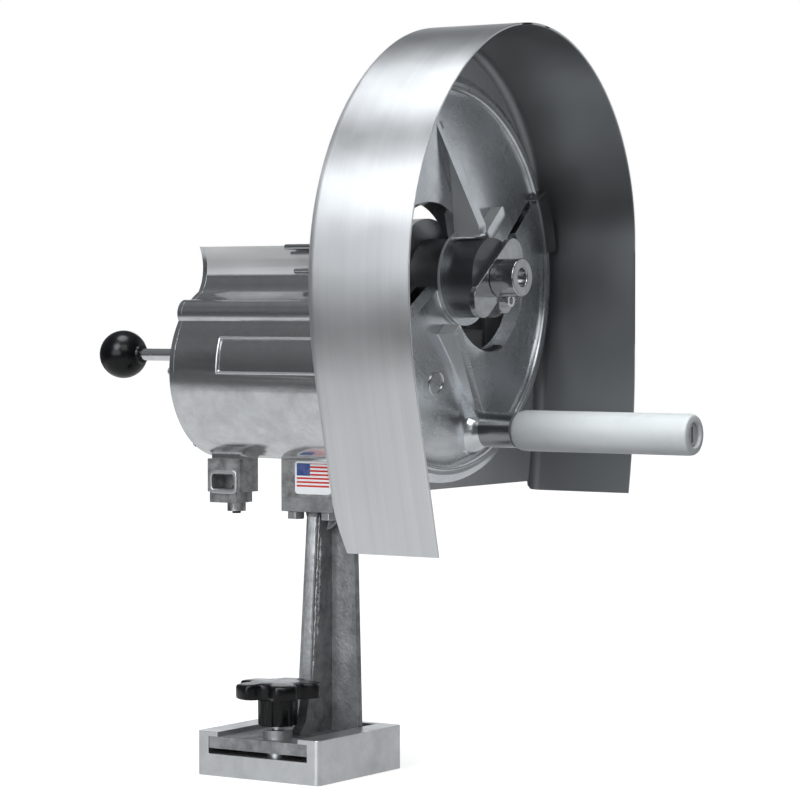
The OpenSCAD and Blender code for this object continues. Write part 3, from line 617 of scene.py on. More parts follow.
class Finishes:
    """Every material, built once."""

    def __init__(self) -> None:
        """Build the materials."""
        self.polished = CastFinish("polished_cast", 0.68, 0.52, 1.0, 0.13, 0.22, 0.16, 0.05).build()
        self.base = CastFinish("base_cast", 0.68, 0.54, 1.0, 0.3, 0.4, 0.06, 0.06, 500.0, 22.0).build()
        self.housing = BarrelFinish("housing_cast", 0.68, 0.52, 1.0, 0.13, 0.22, 0.16, 0.05).build()
        self.rough = CastFinish("sand_cast", 0.35, 0.16, 0.85, 0.44, 0.62, 0.6, 0.7, 520.0, 40.0).build()
        self.flash = CastFinish("rubbed_cast", 0.52, 0.3, 0.85, 0.5, 0.68, 0.6, 0.6, 520.0, 60.0).build()
        self.dull = CastFinish("tumbled_cast", 0.64, 0.46, 0.95, 0.30, 0.44, 0.3, 0.22, 760.0, 40.0).build()
        self.sheet = BrushedFinish("brushed_sheet", 0.78, 0.36, 0.16).build()
        self.disc = DiscFinish("turned_disc", 0.75, 0.2, *SHAFT).build()
        self.hub = TurnedFinish("turned_hub", 0.2, 0.34, *SHAFT).build()
        self.chrome = CastFinish("dark_chrome", 0.5, 0.36, 1.0, 0.1, 0.2, 0.2, 0.05).build()
        self.dark = CastFinish("dark_cast", 0.34, 0.16, 0.9, 0.34, 0.5, 0.3, 0.3, 700.0, 60.0).build()
        self.steel = CastFinish("bright_steel", 0.74, 0.62, 1.0, 0.16, 0.24, 0.05, 0.05, 1500.0, 60.0).build()
        self.zinc = CastFinish("plated_steel", 0.56, 0.42, 1.0, 0.28, 0.4, 0.1, 0.12, 1400.0, 90.0).build()
        self.bronze = PlasticFinish("bronze", (0.36, 0.22, 0.10, 1.0), (0.24, 0.15, 0.08, 1.0), 0.3).build()
        self.black = PlasticFinish("black_plastic", (0.003, 0.003, 0.0035, 1.0), (0.008, 0.008, 0.009, 1.0),
                                   0.2, 0.05, 0.26).build()
        self.nylon = PlasticFinish("white_nylon", (0.55, 0.57, 0.57, 1.0), (0.46, 0.48, 0.48, 1.0), 0.4).build()


def merged(bm: Mesh) -> None:
    """Merge vertices that lie on each other and face every surface outwards."""
    bmesh.ops.remove_doubles(bm, verts=bm.verts, dist=WELD)
    bmesh.ops.recalc_face_normals(bm, faces=bm.faces)


def placed(name: str, data: bpy.types.ID) -> bpy.types.Object:
    """Make an object of a mesh, lamp or camera and link it."""
    made = bpy.data.objects.new(name, data)
    bpy.context.scene.collection.objects.link(made)
    return made


def discard(obj: bpy.types.Object) -> None:
    """Remove an object with its mesh.

    Args:
        obj: The object.
    """
    mesh = obj.data
    bpy.data.objects.remove(obj)
    bpy.data.meshes.remove(mesh)


def shaded(mesh: bpy.types.Mesh, sharp: float) -> None:
    """Shade a mesh smooth apart from edges over an angle in degrees."""
    mesh.shade_smooth()
    mesh.set_sharp_from_angle(angle=math.radians(sharp))


def piece(name: str, bm: Mesh, material: bpy.types.Material, sharp: float = 34.0) -> bpy.types.Object:
    """Make an object of a mesh in work.

    Args:
        name: The object's name.
        bm: The mesh in work; it is freed.
        material: Its material.
        sharp: Edges over this angle in degrees stay sharp.

    Returns:
        The linked object.
    """
    mesh = bpy.data.meshes.new(name)
    bm.to_mesh(mesh)
    bm.free()
    mesh.materials.append(material)
    shaded(mesh, sharp)
    return placed(name, mesh)


def baked(obj: bpy.types.Object) -> bpy.types.Object:
    """Turn an object with modifiers into one plain mesh.

    Args:
        obj: The object; its modifiers are removed.

    Returns:
        The same object.
    """
    graph = bpy.context.evaluated_depsgraph_get()
    mesh = bpy.data.meshes.new_from_object(obj.evaluated_get(graph), preserve_all_data_layers=True,
                                           depsgraph=graph)
    mesh.name = obj.name
    old = obj.data
    obj.modifiers.clear()
    obj.data = mesh
    bpy.data.meshes.remove(old)
    return obj


def loft(rings: list[list[Vector]], around: bool = False) -> Mesh:
    """Join rings of points by faces; a ring of one point is a pole.

    Args:
        rings: The rings in order, in metres.
        around: Whether the last ring joins the first.

    Returns:
        The mesh in work, closed at both ends.
    """
    bm = bmesh.new()
    rows = [[bm.verts.new(p) for p in ring] for ring in rings]
    pairs = list(zip(rows, rows[1:] + rows[:1] if around else rows[1:]))
    for first, second in pairs:
        count = max(len(first), len(second))
        for i in range(count):
            j = (i + 1) % count
            corners = [first[i % len(first)], first[j % len(first)], second[j % len(second)],
                       second[i % len(second)]]
            corners = list(dict.fromkeys(corners))
            if len(corners) > 2:
                bm.faces.new(corners)
    if not around:
        for row in (rows[0], rows[-1]):
            if len(row) > 2:
                bm.faces.new(row)
    merged(bm)
    return bm


def turned(outline: Outline, centre: Pair, around: int, shut: bool = True) -> Mesh:
    """Turn an outline about an axis along X.

    Args:
        outline: Pairs of the place along the axis and the radius, in mm.
        centre: The axis's (y, z) in mm.
        around: Steps of the turn.
        shut: False joins the last point of the outline to the first, as for a tube.

    Returns:
        The mesh in work.
    """
    rings = []
    for along, radius in outline:
        ring = []
        for i in range(around if radius > 1e-6 else 1):
            a = TAU * i / around
            y, z = centre[0] + radius * math.cos(a), centre[1] + radius * math.sin(a)
            ring.append(Vector((along, y, z)) * MM)
        rings.append(ring)
    return loft(rings, around=not shut)


def plate(loops: list[Outline], x0: float, x1: float) -> Mesh:
    """Make a flat plate across the shaft with holes.

    Args:
        loops: Outlines as (y, z) in mm, the outer one first.
        x0: One face's place along the shaft.
        x1: The other face's place.

    Returns:
        The mesh in work.
    """
    bm = bmesh.new()
    for x in (x0, x1):
        edges = []
        for points in loops:
            row = [bm.verts.new(Vector((x, y, z)) * MM) for y, z in points]
            edges += [bm.edges.new((row[i], row[(i + 1) % len(row)])) for i in range(len(row))]
        bmesh.ops.triangle_fill(bm, edges=edges, use_beauty=True)
    bm.verts.ensure_lookup_table()
    total = sum(len(points) for points in loops)
    start = 0
    for points in loops:
        count = len(points)
        for i in range(count):
            j = (i + 1) % count
            bm.faces.new([bm.verts[start + i], bm.verts[start + j], bm.verts[total + start + j],
                          bm.verts[total + start + i]])
        start += count
    merged(bm)
    return bm


def softened(node: str, name: str, material: bpy.types.Material, width: float, segments: int = 2,
             angle: float = 32.0) -> bpy.types.Object:
    """Copy a CAD node and round its edges.

    Args:
        node: The CAD node.
        name: The piece's name.
        material: Its material.
        width: The rounding's width in mm.
        segments: Steps of the rounding.
        angle: Edges over this angle in degrees are rounded.

    Returns:
        The piece, which stands for the node.
    """
    bm = bmesh.new()
    bm.from_mesh(NODES[node].data)
    bmesh.ops.remove_doubles(bm, verts=bm.verts, dist=WELD)
    bmesh.ops.dissolve_limit(bm, angle_limit=math.radians(0.6), verts=bm.verts, edges=bm.edges,
                             use_dissolve_boundaries=False)
    bmesh.ops.recalc_face_normals(bm, faces=bm.faces)
    made = piece(name, bm, material, angle)
    bevel = made.modifiers.new("Soft edges", "BEVEL")
    bevel.limit_method = "ANGLE"
    bevel.angle_limit = math.radians(angle)
    bevel.width = width * MM
    bevel.segments = segments
    bevel.harden_normals = True
    bevel.miter_outer = "MITER_ARC"
    baked(made)
    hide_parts(node)
    return made


def eased(bm: Mesh, width: float, segments: int = 2) -> Mesh:
    """Round a mesh's sharp edges.

    Args:
        bm: The mesh in work.
        width: The rounding's width in mm.
        segments: Steps of the rounding.

    Returns:
        The same mesh.
    """
    edges = [e for e in bm.edges if len(e.link_faces) == 2 and e.calc_face_angle(0.0) > EASED_OVER]
    bmesh.ops.bevel(bm, geom=edges, offset=width * MM, segments=segments, profile=0.5, affect="EDGES",
                    clamp_overlap=True)
    merged(bm)
    return bm


def swung(points: list[Pair], centre: Pair, turn: float) -> list[Pair]:
    """Turn an outline about the origin and set it at a centre.

    Args:
        points: The outline as (y, z) in mm.
        centre: Where the origin goes.
        turn: The turn in degrees.

    Returns:
        The placed outline.
    """
    c, w = math.cos(math.radians(turn)), math.sin(math.radians(turn))
    return [(centre[0] + y * c - z * w, centre[1] + y * w + z * c) for y, z in points]


def polar(radius: float, degrees: float) -> Pair:
    """Return the point at a radius and a direction from the origin."""
    return (radius * math.cos(math.radians(degrees)), radius * math.sin(math.radians(degrees)))


def arc(centre: Pair, radius: float, start: float, end: float, steps: int) -> list[Pair]:
    """Return the points of an arc.

    Args:
        centre: Its centre.
        radius: Its radius.
        start: The first point's direction in radians.
        end: The last point's direction.
        steps: The steps between them.

    Returns:
        The points, both ends included.
    """
    turns = [start + (end - start) * i / steps for i in range(steps + 1)]
    return [(centre[0] + radius * math.cos(a), centre[1] + radius * math.sin(a)) for a in turns]


def oblong(width: float, height: float, radius: float, steps: int = 6) -> list[Pair]:
    """Return a rectangle with round corners about the origin.

    Args:
        width: Its width in mm.
        height: Its height in mm.
        radius: The corners' radius in mm.
        steps: Steps of each corner.

    Returns:
        The outline.
    """
    points = []
    for sy, sz, start in ((1, 1, 0.0), (-1, 1, 0.25), (-1, -1, 0.5), (1, -1, 0.75)):
        middle = (sy * (width / 2.0 - radius), sz * (height / 2.0 - radius))
        points += arc(middle, radius, start * TAU, (start + 0.25) * TAU, steps)
    return points


def wire(path: list[Vector], radii: list[float], flat: Vector, around: int) -> Mesh:
    """Build a round bar along a path that stays in one plane.

    Args:
        path: The middle line's points in metres.
        radii: The bar's radius at each point, in metres.
        flat: The plane's normal.
        around: Points round the bar.

    Returns:
        The mesh in work, closed at both ends.
    """
    rings = [[path[0]]]
    for i, (point, radius) in enumerate(zip(path, radii)):
        along = (path[min(i + 1, len(path) - 1)] - path[max(i - 1, 0)]).normalized()
        side = along.cross(flat).normalized()
        rings.append([point + (side * math.cos(TAU * k / around) + flat * math.sin(TAU * k / around)) * radius
                      for k in range(around)])
    rings.append([path[-1]])
    return loft(rings)


def dressed(node: str, material: bpy.types.Material) -> None:
    """Give a carried-over CAD node its material.

    Args:
        node: The node.
        material: The material.
    """
    materials = NODES[node].data.materials
    materials.clear()
    materials.append(material)


class Rule(NodeTree):
    """A Geometry Nodes tree with named inputs that ends in real geometry with its finish."""

    def __init__(self, title: str, inputs: dict[str, str]) -> None:
        """Start the tree with its sockets.

        Args:
            title: The tree's name.
            inputs: The inputs' kinds by name, apart from the geometry and the finish.
        """
        self.tree = bpy.data.node_groups.new(title, "GeometryNodeTree")
        for name, kind in ({"Geometry": "Geometry"} | inputs | {"Finish": "Material"}).items():
            self.tree.interface.new_socket(name, in_out="INPUT", socket_type="NodeSocket" + kind)
        self.tree.interface.new_socket("Geometry", in_out="OUTPUT", socket_type="NodeSocketGeometry")
        self.start = self.node("NodeGroupInput").outputs

    def close(self, shape: Socket) -> None:
        """End the tree.

        Args:
            shape: The geometry, instances or not.
        """
        real = self.node("GeometryNodeRealizeInstances", i0=shape).outputs[0]
        paint = self.node("GeometryNodeSetMaterial", Geometry=real, Material=self.start["Finish"]).outputs[0]
        self.node("NodeGroupOutput", i0=paint)

    def run(self, obj: bpy.types.Object, values: dict[str, object]) -> None:
        """Run the rule on an object and keep the result as its plain mesh.

        Args:
            obj: The object.
            values: The inputs' values by name.
        """
        rule = obj.modifiers.new(self.tree.name, "NODES")
        rule.node_group = self.tree
        for item in self.tree.interface.items_tree:
            if item.item_type == "SOCKET" and item.in_out == "INPUT" and item.name in values:
                rule[item.identifier] = values[item.name]
        baked(obj)


class RingRule(Rule):
    """Sets copies of one part at even steps of a ring across the shaft."""

    def __init__(self) -> None:
        """Build the node tree once."""
        super().__init__("Ring of parts", {"Part": "Object", "Count": "Int", "Centre": "Vector",
                                           "Radius": "Float", "Start": "Float", "Step": "Float"})
        start = self.start
        turn = self.times(self.node("GeometryNodeInputIndex").outputs[0], start["Step"])
        turn = self.plus(turn, start["Start"])
        y, z = (self.times(self.maths(what, turn), start["Radius"]) for what in ("COSINE", "SINE"))
        offset = self.node("ShaderNodeCombineXYZ", Y=y, Z=z).outputs[0]
        spot = self.node("ShaderNodeVectorMath", {"operation": "ADD"}, i0=start["Centre"], i1=offset).outputs[0]
        points = self.node("GeometryNodePoints", Count=start["Count"], Position=spot).outputs[0]
        facing = self.node("ShaderNodeCombineXYZ", X=turn).outputs[0]
        part = self.node("GeometryNodeObjectInfo", Object=start["Part"]).outputs["Geometry"]
        self.close(self.node("GeometryNodeInstanceOnPoints", Points=points, Instance=part,
                             Rotation=facing).outputs[0])

    def copies(self, name: str, part: Mesh, count: int, centre: Triple,
               radius: float, start: float, step: float, material: bpy.types.Material) -> bpy.types.Object:
        """Set copies of a part round a ring.

        Args:
            name: The piece's name.
            part: The part, drawn at the origin with +Y pointing out of the ring; it is freed.
            count: How many copies.
            centre: The ring's centre in mm.
            radius: The ring's radius in mm.
            start: The first copy's direction in degrees.
            step: The step between copies in degrees.
            material: Their material.

        Returns:
            The piece, one plain mesh.
        """
        pattern = piece(name + "_pattern", part, material)
        made = placed(name, bpy.data.meshes.new(name))
        self.run(made, {"Part": pattern, "Count": count, "Centre": Vector(centre) * MM, "Radius": radius * MM,
                        "Start": math.radians(start), "Step": math.radians(step), "Finish": material})
        discard(pattern)
        return made


class SweepRule(Rule):
    """Draws one section along a path in a plane across the shaft."""

    def __init__(self) -> None:
        """Build the node tree once."""
        super().__init__("Sweep along a path", {"Section": "Object", "Step": "Float"})
        start = self.start
        path = self.node("GeometryNodeMeshToCurve", i0=start["Geometry"]).outputs[0]
        even = self.node("GeometryNodeResampleCurve", {"mode": "LENGTH"}, Curve=path,
                         Length=start["Step"]).outputs[0]
        length = self.node("GeometryNodeSplineParameter").outputs["Length"]
        marked = self.node("GeometryNodeStoreNamedAttribute", {"data_type": "FLOAT", "domain": "POINT"},
                           Geometry=even, Name="run_length", Value=length).outputs[0]
        section = self.node("GeometryNodeObjectInfo", Object=start["Section"]).outputs["Geometry"]
        outline = self.node("GeometryNodeMeshToCurve", i0=section).outputs[0]
        self.close(self.node("GeometryNodeCurveToMesh", Curve=marked, Profile_Curve=outline,
                             Fill_Caps=True).outputs[0])

    def swept(self, name: str, path: list[Pair], section: list[Pair],
              step: float, material: bpy.types.Material, sharp: float) -> bpy.types.Object:
        """Draw a closed section along an open path.

        Args:
            name: The piece's name.
            path: The path as (y, z) in mm.
            section: The section as (x, depth) in mm, the depth counted to the path's right hand side.
            step: The path's step in mm.
            material: Its material.
            sharp: Edges over this angle in degrees stay sharp.

        Returns:
            The piece, one plain mesh with the Run coordinates.
        """
        line = bpy.data.meshes.new(name)
        line.from_pydata([(0.0, y * MM, z * MM) for y, z in path],
                         [(i, i + 1) for i in range(len(path) - 1)], [])
        outline = bpy.data.meshes.new(name + "_section")
        count = len(section)
        outline.from_pydata([(-x * MM, -d * MM, 0.0) for x, d in section],
                            [(i, (i + 1) % count) for i in range(count)], [])
        pattern = placed(name + "_section", outline)
        made = placed(name, line)
        self.run(made, {"Section": pattern, "Step": step * MM, "Finish": material})
        discard(pattern)
        mesh = made.data
        bm = bmesh.new()
        bm.from_mesh(mesh)
        bmesh.ops.recalc_face_normals(bm, faces=bm.faces)
        run = bm.verts.layers.float.get("run_length")
        layer = bm.loops.layers.uv.new("Run")
        for f in bm.faces:
            for corner in f.loops:
                corner[layer].uv = (corner.vert[run] if run else 0.0, corner.vert.co.x)
        bm.to_mesh(mesh)
        bm.free()
        shaded(mesh, sharp)
        return made


def flat_run(obj: bpy.types.Object) -> None:
    """Give a piece Run coordinates from its height and depth.

    Args:
        obj: The piece.
    """
    mesh = obj.data
    layer = mesh.uv_layers.new(name="Run")
    for corner in mesh.loops:
        co = mesh.vertices[corner.vertex_index].co
        layer.data[corner.index].uv = (co.z, co.y + co.x * FLAT_SLANT)


@dataclass
class Studio:
    """The photo's plain white surroundings, the key lamp and the camera."""

    camera_at: Triple = (1.1517, -1.6368, 0.2983)
    tilt: float = -1.735
    turn: float = 33.3
    lens: float = 141.1
    boxes: tuple[tuple[Triple, float, float, float], ...] = (
        ((0.0, -0.79, 0.59), 0.99, 0.95, 9.0),
        ((0.0, -0.12, 0.99), 0.985, 0.93, 7.5),
        ((0.03, -0.99, 0.08), 0.975, 0.89, 3.0),
        ((0.55, 0.84, 0.05), 0.97, 0.7, 0.52),
        ((-0.55, 0.84, 0.06), 0.985, 0.93, 1.1),
    )
    band: tuple[Pair, ...] = ((0.08, 0.085), (0.22, 0.12), (0.45, 0.17), (0.62, 0.14), (0.8, 0.2))
    band_ends: Pair = (0.10, 0.5)
    floor_half: float = 6.0
    floor_drop: float = 0.0004
    floor_tones: Pair = (0.27, 0.30)
    far_tone: float = 0.04
    fade: Pair = (0.6, 1.2)
    seen_glow: Pair = (0.82, 1.05)
    mirrored_glow: Pair = (0.36, 0.08)
    key_at: Triple = (1.5, -1.9, 2.0)
    key_size: float = 1.5
    key_power: float = 18.0
    aim: Triple = (0.0, 0.0, 0.24)

    def build(self) -> None:
        """Set up the camera, the floor, the lamp and the surrounding light."""
        scene = bpy.context.scene
        scene.view_settings.view_transform = "Standard"
        eye = bpy.data.cameras.new("Camera")
        eye.lens = self.lens
        eye.sensor_width = 36.0
        eye.clip_end = 30.0
        camera = placed("Camera", eye)
        camera.location = self.camera_at
        camera.rotation_euler = (math.radians(90.0 + self.tilt), 0.0, math.radians(self.turn))
        scene.camera = camera
        self.floor()
        self.key()
        self.surroundings()
        log.info("studio: camera, floor, lamp and %d soft boxes", len(self.boxes))

    def floor(self) -> None:
        """Build the pale floor that keeps the shadow."""
        g = Graph("studio_floor")
        rays = g.node("ShaderNodeLightPath").outputs
        paper = g.noise(g.place(), 3.0, 2.0, 0.5)
        reach = g.node("ShaderNodeVectorMath", {"operation": "LENGTH"}, i0=g.place()).outputs["Value"]
        away = g.span(reach, *self.fade, 0.0, 1.0)
        tone = g.blend(away, g.blend(paper, *(grey(tone) for tone in self.floor_tones)), grey(self.far_tone))
        matt = g.node("ShaderNodeBsdfDiffuse", Color=tone)
        glow = g.node("ShaderNodeEmission", Color=grey(1.0), Strength=self.glow(g, rays, away))
        both = g.node("ShaderNodeAddShader", i0=matt.outputs[0], i1=glow.outputs[0])
        g.node("ShaderNodeOutputMaterial", Surface=both.outputs[0])
        bm = bmesh.new()
        bmesh.ops.create_grid(bm, x_segments=4, y_segments=4, size=self.floor_half)
        made = piece("floor", bm, g.material)
        made.location = (0.0, 0.0, -self.floor_drop)

    def glow(self, g: Graph, rays: object, away: object) -> Socket:
        """Return the floor's glow: strong where the camera sees it, faint and fading outwards in reflections.

        Args:
            g: The floor's graph.
            rays: The light path's outputs.
            away: 0 near the object and 1 far from it.

        Returns:
            The strength's socket.
        """
        mirrored = g.maths("MAXIMUM", rays["Is Glossy Ray"], rays["Is Transmission Ray"])
        seen = g.times(rays["Is Camera Ray"], g.span(away, 0.0, 1.0, *self.seen_glow))
        return g.plus(seen, g.times(mirrored, g.span(away, 0.0, 1.0, *self.mirrored_glow)))

    def key(self) -> None:
        """Add the soft key lamp that points at the object."""
        data = bpy.data.lights.new("Key", "AREA")
        data.size = self.key_size
        data.energy = self.key_power
        made = placed("Key", data)
        made.location = self.key_at
        made.rotation_euler = (Vector(self.aim) - Vector(self.key_at)).to_track_quat("-Z", "Y").to_euler()

    def surroundings(self) -> None:
        """Build the light all round: a dark band over the horizon, soft boxes above, white behind."""
        g = Graph("Studio", world=True)
        bpy.context.scene.world = g.material
        way = g.node("ShaderNodeTexCoord").outputs["Generated"]
        height = g.split(way)[2]
        ramp = g.node("ShaderNodeValToRGB", Fac=height)
        stops = ramp.color_ramp.elements
        for stop, place, value in zip(stops, (0.0, 1.0), self.band_ends):
            stop.position, stop.color = place, grey(value)
        for place, value in self.band:
            stops.new(place).color = grey(value)
        total = ramp.outputs[0]
        for direction, inner, outer, strength in self.boxes:
            facing = g.node("ShaderNodeVectorMath", {"operation": "DOT_PRODUCT"}, i0=way,
                            i1=Vector(direction).normalized())
            box = g.node("ShaderNodeMapRange", {"interpolation_type": "SMOOTHSTEP"},
                         Value=facing.outputs["Value"], From_Min=outer, From_Max=inner, To_Max=strength)
            total = g.plus(total, box.outputs[0])
        light = g.node("ShaderNodeBackground", Color=grey(1.0, -0.03), Strength=total)
        white = g.node("ShaderNodeBackground", Color=grey(1.0))
        rays = g.node("ShaderNodeLightPath").outputs
        seen = g.maths("MAXIMUM", rays["Is Camera Ray"], rays["Is Transmission Ray"])
        mix = g.node("ShaderNodeMixShader", i0=seen, i1=light.outputs[0], i2=white.outputs[0])
        g.node("ShaderNodeOutputWorld", Surface=mix.outputs[0])


@dataclass
class Stand:
    """The base block, the sliding column with its pad, and the sticker on the pad."""

    edge: float = 1.1
    foot_edge: float = 1.0
    bolt_edge: float = 0.5
    web_x: float = 6.0
    web_half: float = 3.5
    web_low: Pair = (-3.1, 47.0)
    web_high: Pair = (5.6, 165.0)
    flashes: tuple[tuple[float, float, float, float], ...] = (
        (58.0, 164.0, 2.6, 0.55), (84.0, 150.0, 5.4, 0.75))
    seed: int = 7
    flash_step: float = 1.3
    flash_sway: float = 0.45
    flash_least: float = 0.25
    flash_swell: Pair = (0.2, 1.5)
    flash_ends: float = 4.0
    rubbed_half: float = 2.9
    rubbed_depth: Pair = (-0.35, 1.0)
    rubbed_run: Pair = (52.0, 163.0)
    rubbed_edge: float = 0.3
    rim_y: float = 17.3
    rim_z: float = 167.0
    rim_r: float = 12.6
    rim_gap: float = 0.06
    rim_bead: float = 0.9

    def web_front(self, z: float) -> float:
        """Return the Y of the web's front edge at one height."""
        (y0, z0), (y1, z1) = self.web_low, self.web_high
        return y0 + (y1 - y0) * (z - z0) / (z1 - z0)

    def column_marks(self, looks: Finishes) -> list[bpy.types.Object]:
        """Build the casting flash on the web, its rubbed front edge and the rim of the arch above it.

        Args:
            looks: The materials.

        Returns:
            The pieces.
        """
        dice = random.Random(self.seed)
        made = []
        for k, (start, end, inset, size) in enumerate(self.flashes):
            steps = int((end - start) / self.flash_step)
            path, radii = [], []
            for i in range(steps + 1):
                z = start + (end - start) * i / steps
                y = self.web_front(z) + inset + dice.uniform(-self.flash_sway, self.flash_sway)
                path.append(Vector((self.web_x + self.web_half, y, z)) * MM)
                fade = min(1.0, i / self.flash_ends, (steps - i) / self.flash_ends)
                radii.append(size * (self.flash_least + fade * dice.uniform(*self.flash_swell)) * MM)
            made.append(piece(f"web_flash_{k + 1}", wire(path, radii, ALONG, 8), looks.flash))
        (out, deep), (low, high) = self.rubbed_depth, self.rubbed_run
        strip = [(self.web_front(z) + d, z) for d, z in ((out, low), (deep, low), (deep, high), (out, high))]
        strip = plate([strip], self.web_x - self.rubbed_half, self.web_x + self.rubbed_half)
        made.append(piece("web_edge", eased(strip, self.rubbed_edge), looks.flash))
        rim = arc((self.web_x, self.rim_z), self.rim_r, -self.rim_gap, self.rim_gap - math.pi, 30)
        path = [Vector((x, self.rim_y, z)) * MM for x, z in rim]
        bead = wire(path, [self.rim_bead * MM] * len(path), Vector((0.0, 1.0, 0.0)), 10)
        made.append(piece("arch_rim", bead, looks.flash))
        return made

    def build(self, looks: Finishes) -> None:
        """Build and dress the base and the column.

        Args:
            looks: The materials.
        """
        base = softened("base_block", "base_soft", looks.base, self.edge, 3)
        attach(base, Body.BASE.value)
        post = softened("post", "post_soft", looks.rough, self.foot_edge, 3)
        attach(post, Body.STAND.value)
        for made in self.column_marks(looks):
            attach(made, Body.STAND.value)
        bolts = softened("post_bolts", "post_bolts_soft", looks.zinc, self.bolt_edge, 2)
        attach(bolts, Body.STAND.value)
        lo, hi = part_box("label_plate")
        sticker = LabelFinish("label", lo[0] / MM, hi[0] / MM, lo[2] / MM, hi[2] / MM).build()
        dressed("label_plate", sticker)
        log.info("stand: base %d faces, column %d faces", len(base.data.polygons), len(post.data.polygons))


@dataclass
class Clamp:
    """The star knob with its stud and swivel pad."""

    x: float = field(init=False)
    y: float = field(init=False)
    bottom: float = field(init=False)
    under: float = field(init=False)
    top: float = field(init=False)
    reach: float = field(init=False)
    lobe_h: float = 10.4
    hub_r: float = 12.5
    waist: float = 0.66
    lobes: int = 5
    flutes: int = 10
    flute: float = 0.7
    flute_fade: float = 8.0
    chamfer: float = 0.9
    turn: float = 28.0
    reach_turn: float = 10.0
    steepness: float = 2.4
    lobe_bias: float = 0.25
    around: int = 240
    lobe_foot: tuple[Pair, ...] = (
        (-1.6, 0.02), (-0.5, 0.12), (-0.1, 0.4), (0.0, 0.8), (0.2, 0.93), (0.8, 0.985), (1.8, 1.0))
    lobe_crown: tuple[Pair, ...] = (
        (-3.2, 1.0), (-2.2, 0.985), (-1.5, 0.95), (-1.1, 0.89), (-0.8, 0.78), (-0.5, 0.55), (-0.2, 0.2),
        (-0.05, 0.02))

    def radius(self, a: float, share: float) -> float:
        """Return the knob's radius in one direction.

        Args:
            a: The direction in radians.
            share: 0 at the hub's round section, 1 at the full lobes.

        Returns:
            The radius in mm.
        """
        wave = math.cos(self.lobes * (a - math.radians(self.turn)))
        wave = math.tanh(self.steepness * (wave + self.lobe_bias))
        wave /= math.tanh(self.steepness * (1.0 + self.lobe_bias))
        full = self.reach * (0.5 + 0.5 * self.waist + (0.5 - 0.5 * self.waist) * wave)
        return self.hub_r + (full - self.hub_r) * share

    def build(self, looks: Finishes) -> None:
        """Build the knob and dress the metal parts.

        Args:
            looks: The materials.
        """
        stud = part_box("clamp_stud")
        lo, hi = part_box("clamp_knob")
        self.x, self.y = ((stud[0][i] + stud[1][i]) / 2.0 / MM for i in (0, 1))
        self.bottom, self.top = lo[2] / MM, hi[2] / MM
        self.reach = (hi[1] / MM - self.y) / math.cos(math.radians(self.reach_turn))
        self.under = self.top - self.lobe_h
        rows = [(self.bottom, -self.chamfer, 0.0), (self.bottom + self.chamfer, 0.0, 0.0)]
        rows += [(self.under + up, 0.0, share) for up, share in self.lobe_foot]
        rows += [(self.top + up, 0.0, share) for up, share in self.lobe_crown]
        rings = [[Vector((self.x, self.y, self.bottom)) * MM]]
        for z, less, share in rows:
            ring = []
            for i in range(self.around):
                a = TAU * i / self.around
                wave = math.tanh(2.0 * math.cos(self.flutes * (a - math.radians(self.turn))))
                flute = self.flute * wave - self.flute
                r = self.radius(a, share) + less + flute * max(0.0, 1.0 - self.flute_fade * share)
                ring.append(Vector((self.x + r * math.cos(a), self.y + r * math.sin(a), z)) * MM)
            rings.append(ring)
        rings.append([Vector((self.x, self.y, self.top)) * MM])
        knob = piece("knob_star", loft(rings), looks.black, 50.0)
        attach(knob, Body.CLAMP.value)
        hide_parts("clamp_knob")
        dressed("clamp_stud", looks.zinc)
        dressed("clamp_pad", looks.zinc)
        log.info("clamp: knob of %d lobes", self.lobes)


